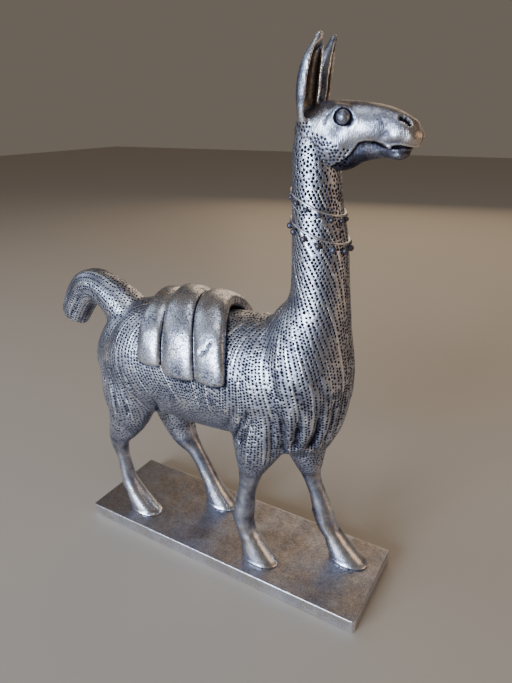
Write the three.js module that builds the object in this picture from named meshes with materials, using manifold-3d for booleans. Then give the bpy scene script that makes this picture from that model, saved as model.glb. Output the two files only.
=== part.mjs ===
// Llama figurine on a rectangular plinth. Millimetres, +X forward, +Y the llama's left, +Z up.
// The origin is the middle of the plinth's underside.
import * as THREE from "three";
import { mergeVertices } from "three/addons/utils/BufferGeometryUtils.js";
import Module from "manifold-3d";

const wasm = await Module();
wasm.setup();

const PLINTH = { length: 240, width: 75.3, height: 10.6, corner: 2.5, edge: 1 };
const GAP = 0.05;
const GROUND = PLINTH.height + GAP;
const UP = new THREE.Vector3(0, 0, 1);
const FORWARD = new THREE.Vector3(1, 0, 0);
const LEFT = new THREE.Vector3(0, 1, 0);

// Rows of a limb are [x, y, z, half depth, half width], from one end of its path to the other.
const TORSO = [
  [-97, 0, 158, 33, 27],
  [-86, 0, 153, 41.5, 33],
  [-68, 0, 151, 45, 35],
  [-40, 0, 152, 45, 34],
  [-10, 0, 152, 45, 34],
  [20, 0, 154.5, 44.5, 34.5],
  [42, 0, 157, 43, 34],
  [60, 0, 158, 38, 30],
];
const NECK = [
  [57, 0, 121, 25, 25],
  [59.5, 0, 136, 29, 29],
  [61, 0, 154, 31.5, 31.5],
  [61, 0, 172, 32.5, 32],
  [63, 0, 187, 30, 29],
  [66, 0, 199, 26, 24.5],
  [68.5, 0, 208, 22, 21],
  [69.9, 0, 218, 18.8, 18.8],
  [69.8, 0, 231, 17.6, 17.5],
  [68.9, 0, 250, 16.9, 16.5],
  [67.6, 0, 263, 15.8, 15.5],
  [66.2, 0, 276, 14.8, 14.6],
  [65.2, 0, 290, 14, 14],
  [64.4, 0, 302, 13.5, 13],
  [64, 0, 312, 12.2, 11.6],
];

const LEGS = [
  {
    rows: [
      [-78, -15, 140, 30, 17],
      [-82, -17, 120, 25, 16],
      [-84, -18, 104, 19, 13.5],
      [-90, -19, 90, 13.5, 11],
      [-96, -19, 80, 10.5, 8.5],
      [-98, -19, 70, 8, 6.8],
      [-96, -19, 59, 5.8, 5.4],
      [-94, -19, 47, 5.8, 5.4],
      [-92.5, -19, 38, 6.8, 6.2],
      [-90, -19, 31, 7.8, 7.4],
    ],
    hoof: [-75.5, -18.7],
  },
  {
    rows: [
      [-70, 15, 130, 28, 16],
      [-69, 17, 108, 23, 14.5],
      [-67, 18, 92, 18, 13],
      [-64, 19, 78, 14, 11],
      [-58, 19, 67, 11, 9.4],
      [-50, 19, 58.5, 7.6, 6.8],
      [-43, 19, 48, 6.6, 6.2],
      [-38, 19, 38, 7, 6.4],
      [-34, 19, 31, 7.8, 7.2],
    ],
    hoof: [-23, 19],
  },
  {
    rows: [
      [40, -15, 142, 25, 17],
      [38, -17, 124, 21, 16],
      [35, -19, 110, 17, 14],
      [32, -19, 98, 12.5, 11],
      [30, -19, 89, 9.5, 8.5],
      [28, -19, 78, 7.4, 6.8],
      [26, -19, 68, 6.8, 6.4],
      [24.5, -19, 56, 7.8, 7],
      [23, -19, 46, 8.4, 7.4],
      [25, -19, 36, 7.6, 7],
      [27, -19, 30, 7.8, 7.4],
    ],
    hoof: [37.5, -19],
  },
  {
    rows: [
      [54, 13, 134, 24, 16],
      [56, 13, 112, 19, 14],
      [58, 13.5, 97, 14.5, 12],
      [60, 14, 86, 10.5, 9.5],
      [62, 14, 77, 7.4, 7],
      [65, 14, 68, 6.2, 6],
      [69, 14, 58, 6.8, 6.2],
      [72.5, 14, 47, 8, 7],
      [76, 14, 37, 8.2, 7.4],
      [80, 14, 31, 7.6, 7.4],
    ],
    hoof: [96, 13],
  },
];
// A hoof's sole has these half sizes. Its top is inside the leg, a little narrower than the ankle.
const HOOF = { length: 15, width: 9.8, top: 31, forward: 1, neck: 0.95, flare: 1.25 };

const TAIL = [
  [-88, 0, 178, 19, 17],
  [-103, 0, 191, 15, 14.5],
  [-117, 0, 197.5, 13.5, 13],
  [-129, 0, 196.5, 14, 12.5],
  [-138, 0, 189.5, 14.2, 11.5],
  [-144, 0, 181, 13, 10.5],
  [-148, 0, 174, 11.5, 9.5],
  [-150.5, 0, 169, 10, 8.5],
];

const HEAD = [
  [64, 0, 313, 12.5, 12],
  [71, 0, 313.5, 15.2, 13.2],
  [80, 0, 314.2, 15, 12.8],
  [90, 0, 315.6, 12.8, 10.8],
  [101, 0, 315.6, 10.8, 9],
  [109, 0, 314.3, 9.3, 8.4],
  [115, 0, 312.6, 7.6, 7.6],
];
const JAW = [
  [72, 0, 303, 10.5, 11],
  [82, 0, 302.6, 10, 10.4],
  [91, 0, 304.8, 7.6, 8.4],
  [102, 0, 306, 6.6, 7],
  [109, 0, 305.8, 6.2, 6.6],
];
const LIP = { at: [110.5, 0, 302.8], half: [7.4, 6, 4] };
const CHEEK = { at: [76, 0, 309], half: [16, 13.4, 16] };
const CRANIUM = { at: [66, 0, 313], half: [14.4, 12.4, 13.6] };
const NOSE = { at: [115.3, 0, 311.4], half: [8, 7.4, 6.8] };
const EYE = { at: [83, 9.9, 320.5], radius: 3.9 };
const BROW = { at: [81, 7.2, 323], half: [7.4, 4.8, 4.2] };
const NOSTRIL = { at: [116.5, 7.2, 318], half: [3.4, 2.4, 1.7] };

const EAR = {
  rows: [
    [62.6, 7.8, 316, 5.2, 4.2],
    [62.4, 8.8, 322, 6.2, 5],
    [63, 9.2, 331, 7.3, 5.8],
    [64, 9.4, 341, 7.2, 5.8],
    [66, 9.2, 350.5, 5.8, 4.6],
    [68.3, 9, 358, 3.2, 2.8],
  ],
  turn: 0.25,
  hollow: 2.2,
  wall: 1.6,
};

const PACK = {
  halfWidth: 34,
  swing: 1.7,
  skew: 7,
  topThick: 6.5,
  footThick: 4.6,
  rolls: [
    { top: [-48, 200.5], foot: [-48.5, 165], topWidth: 18, footWidth: 21 },
    { top: [-28.5, 205], foot: [-24, 160.5], topWidth: 22, footWidth: 28 },
    { top: [-6.5, 204.5], foot: [2, 162], topWidth: 22, footWidth: 24 },
  ],
};

const STRINGS = [
  { height: 276, dip: 6.8, cord: 0.7, bead: 1.4, count: 14, drop: 2.8 },
  { height: 260.3, dip: 6.5, cord: 0.7, bead: 1.95, count: 13, drop: 3.9 },
];

// A value list between two neighbouring rows, on a smooth curve through all of them.
function rowAt(rows, position) {
  const last = rows.length - 1;
  const index = Math.min(Math.floor(position), last - 1);
  const t = position - index;
  const before = rows[Math.max(index - 1, 0)];
  const start = rows[index];
  const end = rows[index + 1];
  const after = rows[Math.min(index + 2, last)];
  return start.map((value, k) => {
    const slopeIn = (end[k] - before[k]) / 2;
    const slopeOut = (after[k] - value) / 2;
    const t2 = t * t;
    const t3 = t2 * t;
    return (
      value * (2 * t3 - 3 * t2 + 1) +
      slopeIn * (t3 - 2 * t2 + t) +
      end[k] * (3 * t2 - 2 * t3) +
      slopeOut * (t3 - t2)
    );
  });
}

function between(start, end, share) {
  return start + (end - start) * share;
}

function superSine(angle, power) {
  const s = Math.sin(angle);
  return Math.sign(s) * Math.abs(s) ** (2 / power);
}

// A closed skin over a list of rings, each with the same number of points.
function skin(rings) {
  const sides = rings[0].length;
  const points = rings.flat();
  const triangles = [];
  for (let r = 0; r < rings.length - 1; r += 1) {
    for (let s = 0; s < sides; s += 1) {
      const a = r * sides + s;
      const b = r * sides + ((s + 1) % sides);
      triangles.push([a, b, b + sides], [a, b + sides, a + sides]);
    }
  }
  const first = points.length;
  points.push(middleOf(rings[0]), middleOf(rings[rings.length - 1]));
  const lastRing = (rings.length - 1) * sides;
  for (let s = 0; s < sides; s += 1) {
    const next = (s + 1) % sides;
    triangles.push([first, next, s], [first + 1, lastRing + s, lastRing + next]);
  }
  return solidFrom(points, triangles);
}

function middleOf(ring) {
  const sum = new THREE.Vector3();
  ring.forEach((point) => sum.add(point));
  return sum.divideScalar(ring.length);
}

function solidFrom(points, triangles) {
  const mesh = new wasm.Mesh({
    numProp: 3,
    vertProperties: new Float32Array(points.flatMap((p) => [p.x, p.y, p.z])),
    triVerts: new Uint32Array(triangles.flat()),
  });
  const solid = new wasm.Manifold(mesh);
  if (solid.volume() >= 0) {
    return solid;
  }
  return solidFrom(points, triangles.map(([a, b, c]) => [a, c, b]));
}

// A rounded limb over a path of rows. The section stands square to the path, with its width along
// the given side direction. Each end is closed by a dome of its own section.
function limb(rows, options = {}) {
  const { sides = 12, steps = 1, power = 2, side = LEFT } = options;
  const { domes = [0.9, 0.9], domeRings = 2 } = options;
  const count = (rows.length - 1) * steps;
  const stations = [];
  for (let i = 0; i <= count; i += 1) {
    stations.push(rowAt(rows, i / steps));
  }
  const places = stations.map((row) => new THREE.Vector3(row[0], row[1], row[2]));
  const rings = [];
  stations.forEach((row, i) => {
    const along = places[Math.min(i + 1, count)].clone();
    along.sub(places[Math.max(i - 1, 0)]).normalize();
    if (i === 0) {
      domeShares(domes[0], domeRings).reverse().forEach(([scale, reach]) => {
        rings.push(section(places[0], along, side, row, scale, -reach, sides, power));
      });
    }
    rings.push(section(places[i], along, side, row, 1, 0, sides, power));
    if (i === count) {
      domeShares(domes[1], domeRings).forEach(([scale, reach]) => {
        rings.push(section(places[i], along, side, row, scale, reach, sides, power));
      });
    }
  });
  return skin(rings);
}

// Shares of the section's size and of its half depth, ring by ring, over a dome of a given height.
function domeShares(height, count) {
  const shares = [];
  for (let i = 1; i <= count && height > 0; i += 1) {
    const turn = ((i / (count + 0.45)) * Math.PI) / 2;
    shares.push([Math.cos(turn), Math.sin(turn) * height]);
  }
  return shares;
}

function section(place, along, side, row, scale, reach, sides, power) {
  const across = side.clone().addScaledVector(along, -side.dot(along)).normalize();
  const upward = along.clone().cross(across);
  const [depth, width] = [row[3], row[4]];
  const centre = place.clone().addScaledVector(along, reach * Math.min(depth, width));
  const ring = [];
  for (let s = 0; s < sides; s += 1) {
    const angle = (2 * Math.PI * s) / sides;
    const wide = superSine(angle + Math.PI / 2, power) * width * scale;
    const deep = superSine(angle, power) * depth * scale;
    ring.push(centre.clone().addScaledVector(across, wide).addScaledVector(upward, deep));
  }
  return ring;
}

function ball(at, half, detail = 2) {
  const shape = new THREE.IcosahedronGeometry(1, detail);
  shape.scale(...half);
  shape.translate(...at);
  return fromGeometry(shape);
}

function fromGeometry(geometry) {
  const bare = geometry.clone();
  bare.deleteAttribute("normal");
  bare.deleteAttribute("uv");
  const merged = mergeVertices(bare, 1e-5);
  const mesh = new wasm.Mesh({
    numProp: 3,
    vertProperties: new Float32Array(merged.attributes.position.array),
    triVerts: new Uint32Array(merged.index.array),
  });
  return new wasm.Manifold(mesh);
}

function toGeometry(solid) {
  const mesh = solid.getMesh();
  const geometry = new THREE.BufferGeometry();
  geometry.setAttribute("position", new THREE.BufferAttribute(mesh.vertProperties, 3));
  geometry.setIndex(new THREE.BufferAttribute(mesh.triVerts, 1));
  return geometry;
}

function mirrored(at, sign) {
  return [at[0], at[1] * sign, at[2]];
}

// A hoof is a boot: a narrow ankle that flares forwards and sideways down to a flat sole.
function hoof(leg) {
  const ankle = leg.rows[leg.rows.length - 1];
  const [soleX, soleY] = leg.hoof;
  const levels = 3;
  const rings = [];
  for (let i = 0; i <= levels; i += 1) {
    const t = i / levels;
    const flare = t ** HOOF.flare;
    const x = between(ankle[0] + HOOF.forward, soleX, flare);
    const y = between(ankle[1], soleY, flare);
    const z = between(HOOF.top, GROUND, t);
    const long = between(ankle[3] * HOOF.neck, HOOF.length, flare);
    const wide = between(ankle[4] * HOOF.neck, HOOF.width, flare);
    rings.push(hoofOutline(x, y, z, long, wide));
  }
  return skin(rings);
}

function hoofOutline(x, y, z, long, wide) {
  const sides = 12;
  const ring = [];
  for (let s = 0; s < sides; s += 1) {
    const angle = (2 * Math.PI * s) / sides;
    const across = superSine(angle, 2.3) * wide;
    ring.push(new THREE.Vector3(x + Math.cos(angle) * long, y + across, z));
  }
  return ring;
}

function ear(sign) {
  const rows = EAR.rows.map(([x, y, z, wide, deep]) => [x, y * sign, z, deep, wide]);
  const opening = new THREE.Vector3(Math.cos(EAR.turn), sign * Math.sin(EAR.turn), 0);
  const side = new THREE.Vector3(-opening.y, opening.x, 0);
  const outer = limb(rows, { side, domes: [0, 1.2] });
  const cupRows = rows.slice(1).map(([x, y, z, deep, wide]) => [
    x + opening.x * EAR.hollow,
    y + opening.y * EAR.hollow,
    z,
    Math.max(deep - EAR.wall, 0.5),
    Math.max(wide - EAR.wall, 0.5),
  ]);
  const cup = limb(cupRows, { sides: 10, side, domes: [0.5, 0.8] });
  return outer.subtract(cup);
}

// One padded roll of the pack: a cushion section carried over the back from foot to foot.
function packRoll(roll) {
  const steps = 14;
  const rows = [];
  for (let i = 0; i <= steps; i += 1) {
    const angle = ((2 * i) / steps - 1) * (Math.PI / 2);
    const down = Math.abs(Math.sin(angle)) ** PACK.swing;
    const x = roll.top[0] + (roll.foot[0] - roll.top[0]) * down - PACK.skew * Math.sin(angle);
    const y = PACK.halfWidth * Math.sin(angle);
    const z = roll.foot[1] + (roll.top[1] - roll.foot[1]) * Math.cos(angle);
    const thick = PACK.topThick + (PACK.footThick - PACK.topThick) * down;
    const width = roll.topWidth + (roll.footWidth - roll.topWidth) * down;
    rows.push([x, y, z, thick, width / 2]);
  }
  return limb(rows, { side: FORWARD, power: 2.7, domes: [0.9, 0.9] });
}

// A string of beads lies on the neck in a tilted ring, lower at the front.
function beadString(string) {
  const pieces = [];
  const steps = 20;
  const place = (angle, outward, drop) => {
    const z = string.height - Math.cos(angle) * string.dip - drop;
    const row = neckAt(z);
    const x = row[0] + Math.cos(angle) * (row[3] + outward);
    const y = Math.sin(angle) * (row[4] + outward);
    return new THREE.Vector3(x, y, z);
  };
  const rings = [];
  for (let i = 0; i < steps; i += 1) {
    const angle = (2 * Math.PI * i) / steps;
    const centre = place(angle, 0.1, 0);
    const outward = new THREE.Vector3(Math.cos(angle), Math.sin(angle), 0);
    const ring = [];
    for (let s = 0; s < 4; s += 1) {
      const turn = (2 * Math.PI * s) / 4;
      const point = centre.clone().addScaledVector(outward, Math.cos(turn) * string.cord);
      ring.push(point.addScaledVector(UP, Math.sin(turn) * string.cord));
    }
    rings.push(ring);
  }
  pieces.push(loop(rings));
  for (let i = 0; i < string.count; i += 1) {
    const angle = (2 * Math.PI * (i + 0.5)) / string.count;
    const at = place(angle, string.bead * 0.45, string.drop);
    const bead = new THREE.SphereGeometry(string.bead, 5, 3);
    bead.translate(at.x, at.y, at.z);
    pieces.push(fromGeometry(bead));
  }
  return pieces;
}

function neckAt(z) {
  let low = 0;
  let high = NECK.length - 1;
  for (let i = 0; i < 30; i += 1) {
    const middle = (low + high) / 2;
    if (rowAt(NECK, middle)[2] < z) {
      low = middle;
    } else {
      high = middle;
    }
  }
  return rowAt(NECK, low);
}

function loop(rings) {
  const sides = rings[0].length;
  const triangles = [];
  rings.forEach((ring, r) => {
    const next = (r + 1) % rings.length;
    for (let s = 0; s < sides; s += 1) {
      const t = (s + 1) % sides;
      const [a, b] = [r * sides + s, r * sides + t];
      const [c, d] = [next * sides + t, next * sides + s];
      triangles.push([a, b, c], [a, c, d]);
    }
  });
  return solidFrom(rings.flat(), triangles);
}

function makeHead() {
  let head = limb(HEAD, { sides: 16, power: 2.2, domes: [0, 0.75] });
  head = head.add(limb(JAW, { domes: [0, 0.8] }));
  [CHEEK, CRANIUM, NOSE, LIP].forEach((lump) => {
    head = head.add(ball(lump.at, lump.half, 1));
  });
  for (const sign of [-1, 1]) {
    head = head.add(ball(mirrored(BROW.at, sign), BROW.half, 1));
    head = head.add(ball(mirrored(EYE.at, sign), [EYE.radius, EYE.radius, EYE.radius], 1));
    head = head.subtract(ball(mirrored(NOSTRIL.at, sign), NOSTRIL.half, 1));
    head = head.add(ear(sign));
  }
  return head;
}

function makeLlama() {
  let llama = limb(TORSO, { sides: 22, steps: 2, power: 2.15, domes: [0.55, 0], domeRings: 4 });
  llama = llama.add(limb(NECK, { sides: 16, domes: [0.5, 0.5] }));
  llama = llama.add(makeHead());
  llama = llama.add(limb(TAIL, { domes: [0, 0.4] }));
  LEGS.forEach((leg) => {
    llama = llama.add(limb(leg.rows, { domes: [0, 0.3] }));
    llama = llama.add(hoof(leg));
  });
  PACK.rolls.forEach((roll) => {
    llama = llama.add(packRoll(roll));
  });
  STRINGS.forEach((string) => {
    beadString(string).forEach((piece) => {
      llama = llama.add(piece);
    });
  });
  return llama;
}

function makePlinth() {
  const { length, width, height, corner, edge } = PLINTH;
  const outline = new THREE.Shape();
  const [x, y] = [length / 2 - edge, width / 2 - edge];
  outline.moveTo(-x + corner, -y);
  outline.lineTo(x - corner, -y);
  outline.absarc(x - corner, -y + corner, corner, -Math.PI / 2, 0);
  outline.lineTo(x, y - corner);
  outline.absarc(x - corner, y - corner, corner, 0, Math.PI / 2);
  outline.lineTo(-x + corner, y);
  outline.absarc(-x + corner, y - corner, corner, Math.PI / 2, Math.PI);
  outline.lineTo(-x, -y + corner);
  outline.absarc(-x + corner, -y + corner, corner, Math.PI, Math.PI * 1.5);
  const slab = new THREE.ExtrudeGeometry(outline, {
    depth: height - 2 * edge,
    bevelEnabled: true,
    bevelThickness: edge,
    bevelSize: edge,
    bevelSegments: 2,
    curveSegments: 3,
  });
  slab.translate(0, 0, edge);
  return fromGeometry(slab);
}

function named(name, solid, material) {
  const mesh = new THREE.Mesh(toGeometry(solid), material);
  mesh.name = name;
  return mesh;
}

const figureFinish = new THREE.MeshStandardMaterial({
  name: "figure_finish",
  color: 0x8f8f96,
  metalness: 0.85,
  roughness: 0.4,
});
const plinthFinish = new THREE.MeshStandardMaterial({
  name: "plinth_finish",
  color: 0x85806f,
  metalness: 0.75,
  roughness: 0.5,
});

const group = new THREE.Group();
group.name = "llama_figurine";
group.add(named("plinth", makePlinth(), plinthFinish));
group.add(named("llama", makeLlama(), figureFinish));

export default group;
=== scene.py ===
import math
import random

import bpy
import numpy as np
from mathutils import Matrix, Vector, noise
from mathutils.bvhtree import BVHTree
from mathutils.kdtree import KDTree


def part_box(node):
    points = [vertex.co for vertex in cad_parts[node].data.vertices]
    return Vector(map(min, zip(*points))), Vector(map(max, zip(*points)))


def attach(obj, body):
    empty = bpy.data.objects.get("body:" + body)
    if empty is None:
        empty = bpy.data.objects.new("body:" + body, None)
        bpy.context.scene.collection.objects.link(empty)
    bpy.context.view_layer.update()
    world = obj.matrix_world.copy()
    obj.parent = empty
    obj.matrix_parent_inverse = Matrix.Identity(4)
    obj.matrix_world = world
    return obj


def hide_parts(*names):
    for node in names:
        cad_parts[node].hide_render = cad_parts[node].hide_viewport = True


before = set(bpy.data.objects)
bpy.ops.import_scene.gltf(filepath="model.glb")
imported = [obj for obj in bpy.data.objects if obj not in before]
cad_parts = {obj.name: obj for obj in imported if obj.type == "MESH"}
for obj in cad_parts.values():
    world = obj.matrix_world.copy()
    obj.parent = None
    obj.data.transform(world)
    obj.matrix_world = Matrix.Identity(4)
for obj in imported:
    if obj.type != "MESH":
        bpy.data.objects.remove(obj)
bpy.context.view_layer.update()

# The looks of a llama figurine in antique silver. Every size below is in millimetres, in the frame's
# axes: +X is forward, +Y the llama's left and +Z up. Meshes are turned to metres when they are made.
MM = 0.001
SEED = 7
PLINTH_LOW, PLINTH_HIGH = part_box("plinth")
GROUND = PLINTH_HIGH.z / MM

# Rows are [x, y, z, half depth, half width] along a limb, the same path as the solid's.
TORSO = [
    [-97, 0, 158, 33, 27],
    [-86, 0, 153, 41.5, 33],
    [-68, 0, 151, 45, 35],
    [-40, 0, 152, 45, 34],
    [-10, 0, 152, 45, 34],
    [20, 0, 154.5, 44.5, 34.5],
    [42, 0, 157, 43, 34],
    [60, 0, 158, 38, 30],
]
NECK = [
    [57, 0, 121, 25, 25],
    [59.5, 0, 136, 29, 29],
    [61, 0, 154, 31.5, 31.5],
    [61, 0, 172, 32.5, 32],
    [63, 0, 187, 30, 29],
    [66, 0, 199, 26, 24.5],
    [68.5, 0, 208, 22, 21],
    [69.9, 0, 218, 18.8, 18.8],
    [69.8, 0, 231, 17.6, 17.5],
    [68.9, 0, 250, 16.9, 16.5],
    [67.6, 0, 263, 15.8, 15.5],
    [66.2, 0, 276, 14.8, 14.6],
    [65.2, 0, 290, 14, 14],
    [64.4, 0, 302, 13.5, 13],
    [64, 0, 312, 12.2, 11.6],
]
TAIL = [
    [-88, 0, 178, 19, 17],
    [-103, 0, 191, 15, 14.5],
    [-117, 0, 197.5, 13.5, 13],
    [-129, 0, 196.5, 14, 12.5],
    [-138, 0, 189.5, 14.2, 11.5],
    [-144.5, 0, 181, 13.6, 11],
    [-149, 0, 174, 13.4, 10.4],
    [-152, 0, 168, 13, 9.6],
]
# The hem is the place along the rows where the fleece ends and the bare leg begins.
LEGS = {
    "near_hind": {
        "rows": [
            [-78, -15, 140, 30, 17],
            [-82, -17, 120, 25, 16],
            [-84, -18, 104, 19, 13.5],
            [-90, -19, 90, 13.5, 11],
            [-96, -19, 80, 10.5, 8.5],
            [-98, -19, 70, 8, 6.8],
            [-96, -19, 59, 5.8, 5.4],
            [-94, -19, 47, 5.8, 5.4],
            [-92.5, -19, 38, 6.8, 6.2],
            [-90, -19, 31, 7.8, 7.4],
        ],
        "hem": 4.2,
        "hoof": [-75.5, -18.7],
    },
    "far_hind": {
        "rows": [
            [-70, 15, 130, 28, 16],
            [-69, 17, 108, 23, 14.5],
            [-67, 18, 92, 18, 13],
            [-64, 19, 78, 14, 11],
            [-58, 19, 67, 11, 9.4],
            [-50, 19, 58.5, 7.6, 6.8],
            [-43, 19, 48, 6.6, 6.2],
            [-38, 19, 38, 7, 6.4],
            [-34, 19, 31, 7.8, 7.2],
        ],
        "hem": 4.0,
        "hoof": [-23, 19],
    },
    "near_fore": {
        "rows": [
            [40, -15, 142, 25, 17],
            [38, -17, 124, 21, 16],
            [35, -19, 110, 17, 14],
            [32, -19, 98, 12.5, 11],
            [30, -19, 89, 9.5, 8.5],
            [28, -19, 78, 7.4, 6.8],
            [26, -19, 68, 6.8, 6.4],
            [24.5, -19, 56, 7.8, 7],
            [23, -19, 46, 8.4, 7.4],
            [25, -19, 36, 7.6, 7],
            [27, -19, 30, 7.8, 7.4],
        ],
        "hem": 3.9,
        "hoof": [37.5, -19],
    },
    "far_fore": {
        "rows": [
            [54, 13, 134, 24, 16],
            [56, 13, 112, 19, 14],
            [58, 13.5, 97, 14.5, 12],
            [60, 14, 86, 10.5, 9.5],
            [62, 14, 77, 7.4, 7],
            [65, 14, 68, 6.2, 6],
            [69, 14, 58, 6.8, 6.2],
            [72.5, 14, 47, 8, 7],
            [76, 14, 37, 8.2, 7.4],
            [80, 14, 31, 7.6, 7.4],
        ],
        "hem": 3.8,
        "hoof": [96, 13],
    },
}
HOOF = {"length": 15, "width": 9.8, "top": 31, "forward": 1, "neck": 0.95, "flare": 1.25}

HEAD = [
    [64, 0, 313, 12.5, 12],
    [71, 0, 313.5, 15.2, 13.2],
    [80, 0, 314.2, 15, 12.8],
    [90, 0, 315.6, 12.8, 10.8],
    [101, 0, 315.6, 10.8, 9],
    [109, 0, 314.3, 9.3, 8.4],
    [115, 0, 312.6, 7.6, 7.6],
]
JAW = [
    [72, 0, 303, 10.5, 11],
    [82, 0, 302.6, 10, 10.4],
    [91, 0, 304.8, 7.6, 8.4],
    [102, 0, 306, 6.6, 7],
    [109, 0, 305.8, 6.2, 6.6],
]
CHEEK = {"at": [76, 0, 309], "half": [16, 13.4, 16]}
CRANIUM = {"at": [66, 0, 313], "half": [14.4, 12.4, 13.6]}
NOSE = {"at": [115.3, 0, 311.4], "half": [8, 7.4, 6.8]}
LIP = {"at": [110.5, 0, 302.8], "half": [7.4, 6, 4]}
WORLD = {"colour": (0.58, 0.49, 0.40), "strength": 0.26}
# Lights are (name, place, target, size, power, colour).
LIGHTS = [
    ("window", (-0.45, -1.75, 0.50), (0, 0, 0.18), 0.95, 40, (0.74, 0.85, 1.0)),
    ("window_left", (-1.0, -0.4, 0.8), (0, 0, 0.15), 0.7, 1.5, (0.72, 0.84, 1.0)),
    ("ceiling", (0.0, -0.5, 1.6), (0, 0, 0.15), 0.9, 4, (0.86, 0.92, 1.0)),
    ("warm_right", (1.2, 0.25, 0.5), (0, 0, 0.15), 0.8, 2, (1.0, 0.66, 0.40)),
    ("warm_back", (-0.3, 1.4, 0.8), (0, 0, 0.1), 1.3, 5.5, (1.0, 0.76, 0.50)),
]
PATCH_SCALE = 70.0
SPECK_SCALE = 900.0
WARM_SCALE = 60.0
DENT_SCALE = 380.0
GRAIN_SCALE = 1500.0
STROKE_TURN = (0.0, 0.75, 0.0)
STROKE_SCALE = (1500.0, 1500.0, 240.0)
SILVER_STOPS = [
    (0.0, (0.86, 0.89, 0.97)), (0.25, (0.50, 0.53, 0.64)), (0.6, (0.145, 0.155, 0.215)), (1.0, (0.010, 0.011, 0.02)),
]
BRONZE_STOPS = [
    (0.0, (0.78, 0.66, 0.50)), (0.25, (0.46, 0.36, 0.26)), (0.6, (0.14, 0.10, 0.07)), (1.0, (0.02, 0.014, 0.01)),
]
ROUGHNESS = (0.26, 0.6)
LOOKS = {
    "fleece_silver": {"cover": 0.30, "patches": 1.0, "specks": 0.9, "warm": (0.62, 0.8, 0, 0.3),
                      "dents": 0.9, "strokes": 0.0, "grain": 0.6, "bump": 0.6},
    "head_silver": {"cover": 0.38, "patches": 1.2, "specks": 0.8, "warm": (0.6, 0.8, 0, 0.35),
                    "dents": 0.6, "strokes": 1.0, "grain": 0.2, "bump": 0.5},
    "leg_silver": {"cover": 0.50, "patches": 1.3, "specks": 0.6, "warm": (0.5, 0.7, 0, 0.5),
                   "dents": 0.9, "strokes": 0.3, "grain": 0.2, "bump": 0.35},
    "pack_silver": {"cover": 0.46, "patches": 1.1, "specks": 3.0, "warm": (0.55, 0.75, 0, 0.4),
                    "dents": 0.8, "strokes": 0.2, "grain": 0.5, "bump": 0.4},
    "string_silver": {"cover": 0.56, "patches": 0.3, "specks": 0.5, "warm": (0.4, 0.7, 0, 0.35),
                      "dents": 0.2, "strokes": 0.0, "grain": 0.3, "bump": 0.2},
    "plinth_silver": {"cover": 0.46, "patches": 0.28, "specks": 0.6, "warm": (0.40, 0.62, 0.1, 0.42),
                      "dents": 0.6, "strokes": 0.0, "grain": 0.6, "bump": 0.35},
}

BROW = {"at": [81, 7.2, 323], "half": [7.4, 4.8, 4.2]}
EYE = {"at": [83.4, 9.6, 320.4], "radius": 3.9}
LID = {"ring": 4.5, "thick": 0.95, "lower_thick": 0.7}

# Ear rows are [x, y, z, half width, half depth] of the left ear. The ear is a leaf rolled into a cup.
EAR_ROWS = [
    [62.6, 7.8, 316, 5.2, 4.2],
    [62.4, 8.8, 322, 6.2, 5],
    [63, 9.2, 331, 7.3, 5.8],
    [64, 9.4, 341, 7.2, 5.8],
    [66, 9.2, 350.5, 5.8, 4.6],
    [68.3, 9, 358, 2.5, 2.0],
]
EAR = {"turn": 0.25, "mouth": 0.95, "wall": 1.5, "hollow": 1.9, "ribs": 5, "rib": 0.5}

PACK = {"half_width": 34, "swing": 1.7, "skew": 7, "top_thick": 6.5, "foot_thick": 4.6, "power": 2.7}
PACK_ROLLS = [
    {"top": [-48, 200.5], "foot": [-48.5, 165], "top_width": 18, "foot_width": 21},
    {"top": [-28.5, 205], "foot": [-24, 160.5], "top_width": 22, "foot_width": 28},
    {"top": [-6.5, 204.5], "foot": [2, 162], "top_width": 22, "foot_width": 24},
]

STRINGS = [
    {"height": 276, "dip": 6.8, "cord": 0.7, "bead": 1.4, "count": 14, "drop": 2.8},
    {"height": 260.3, "dip": 6.5, "cord": 0.7, "bead": 1.95, "count": 13, "drop": 3.9},
]

# The fleece is combed. Guides are [x, z, lean]: how far its rows lean forward on their way down.
COMB = [
    [-86, 186, -12],
    [-69, 195, -30],
    [-76, 179, -15],
    [-84, 164, -4],
    [-60, 193, -35],
    [-69, 176, -17],
    [-70, 160, 6],
    [-49, 195, -36],
    [-59, 176, -19],
    [-62, 160, 2],
    [-54, 145, 40],
    [-64, 144, 24],
    [-56, 135, 56],
    [-79, 134, 14],
    [-78, 120, 6],
    [-94, 150, 4],
    [-88, 100, -20],
    [-95, 84, -30],
    [-68, 100, 4],
    [-62, 74, 26],
    [-36, 145, 30],
    [-30, 125, 40],
    [-5, 140, 18],
    [0, 120, 26],
    [24, 188, -4],
    [29, 198, -30],
    [20, 165, -2],
    [14, 145, 0],
    [40, 196, -16],
    [44, 180, 1],
    [46, 165, 18],
    [50, 155, 26],
    [31, 140, -20],
    [22, 122, -26],
    [40, 120, 6],
    [34, 104, -12],
    [31, 90, -14],
    [55, 180, 6],
    [57, 167, 22],
    [62, 196, 22],
    [68, 183, 23],
    [72, 196, 26],
    [78, 212, 29],
    [85, 198, 24],
    [84, 175, 18],
    [80, 160, 8],
    [59, 140, 12],
    [73, 145, -4],
    [87, 149, -8],
    [66, 122, -6],
    [60, 92, 8],
    [66, 225, 28],
    [68, 245, 28],
    [68, 256, 34],
    [68, 266, 52],
    [68, 276, 34],
    [66, 286, 14],
    [66, 300, 8],
]
COMB_REACH = 13.0
ROW_GAP = 2.15
PIT_PITCH = 2.1
COARSE = {"from": 10, "to": -75, "more": 0.17}
PIT = {"along": 1.0, "across": 0.88, "depth": 1.0, "apart": 1.7}
RIDGE = {"gap": 10.5, "shortest": 9, "longest": 60, "height": 0.36, "spacing": 1.05}
TRACE_STEP = 0.95
FLEECE_VOXEL = 1.05
SPLIT_X = -4.0

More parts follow.
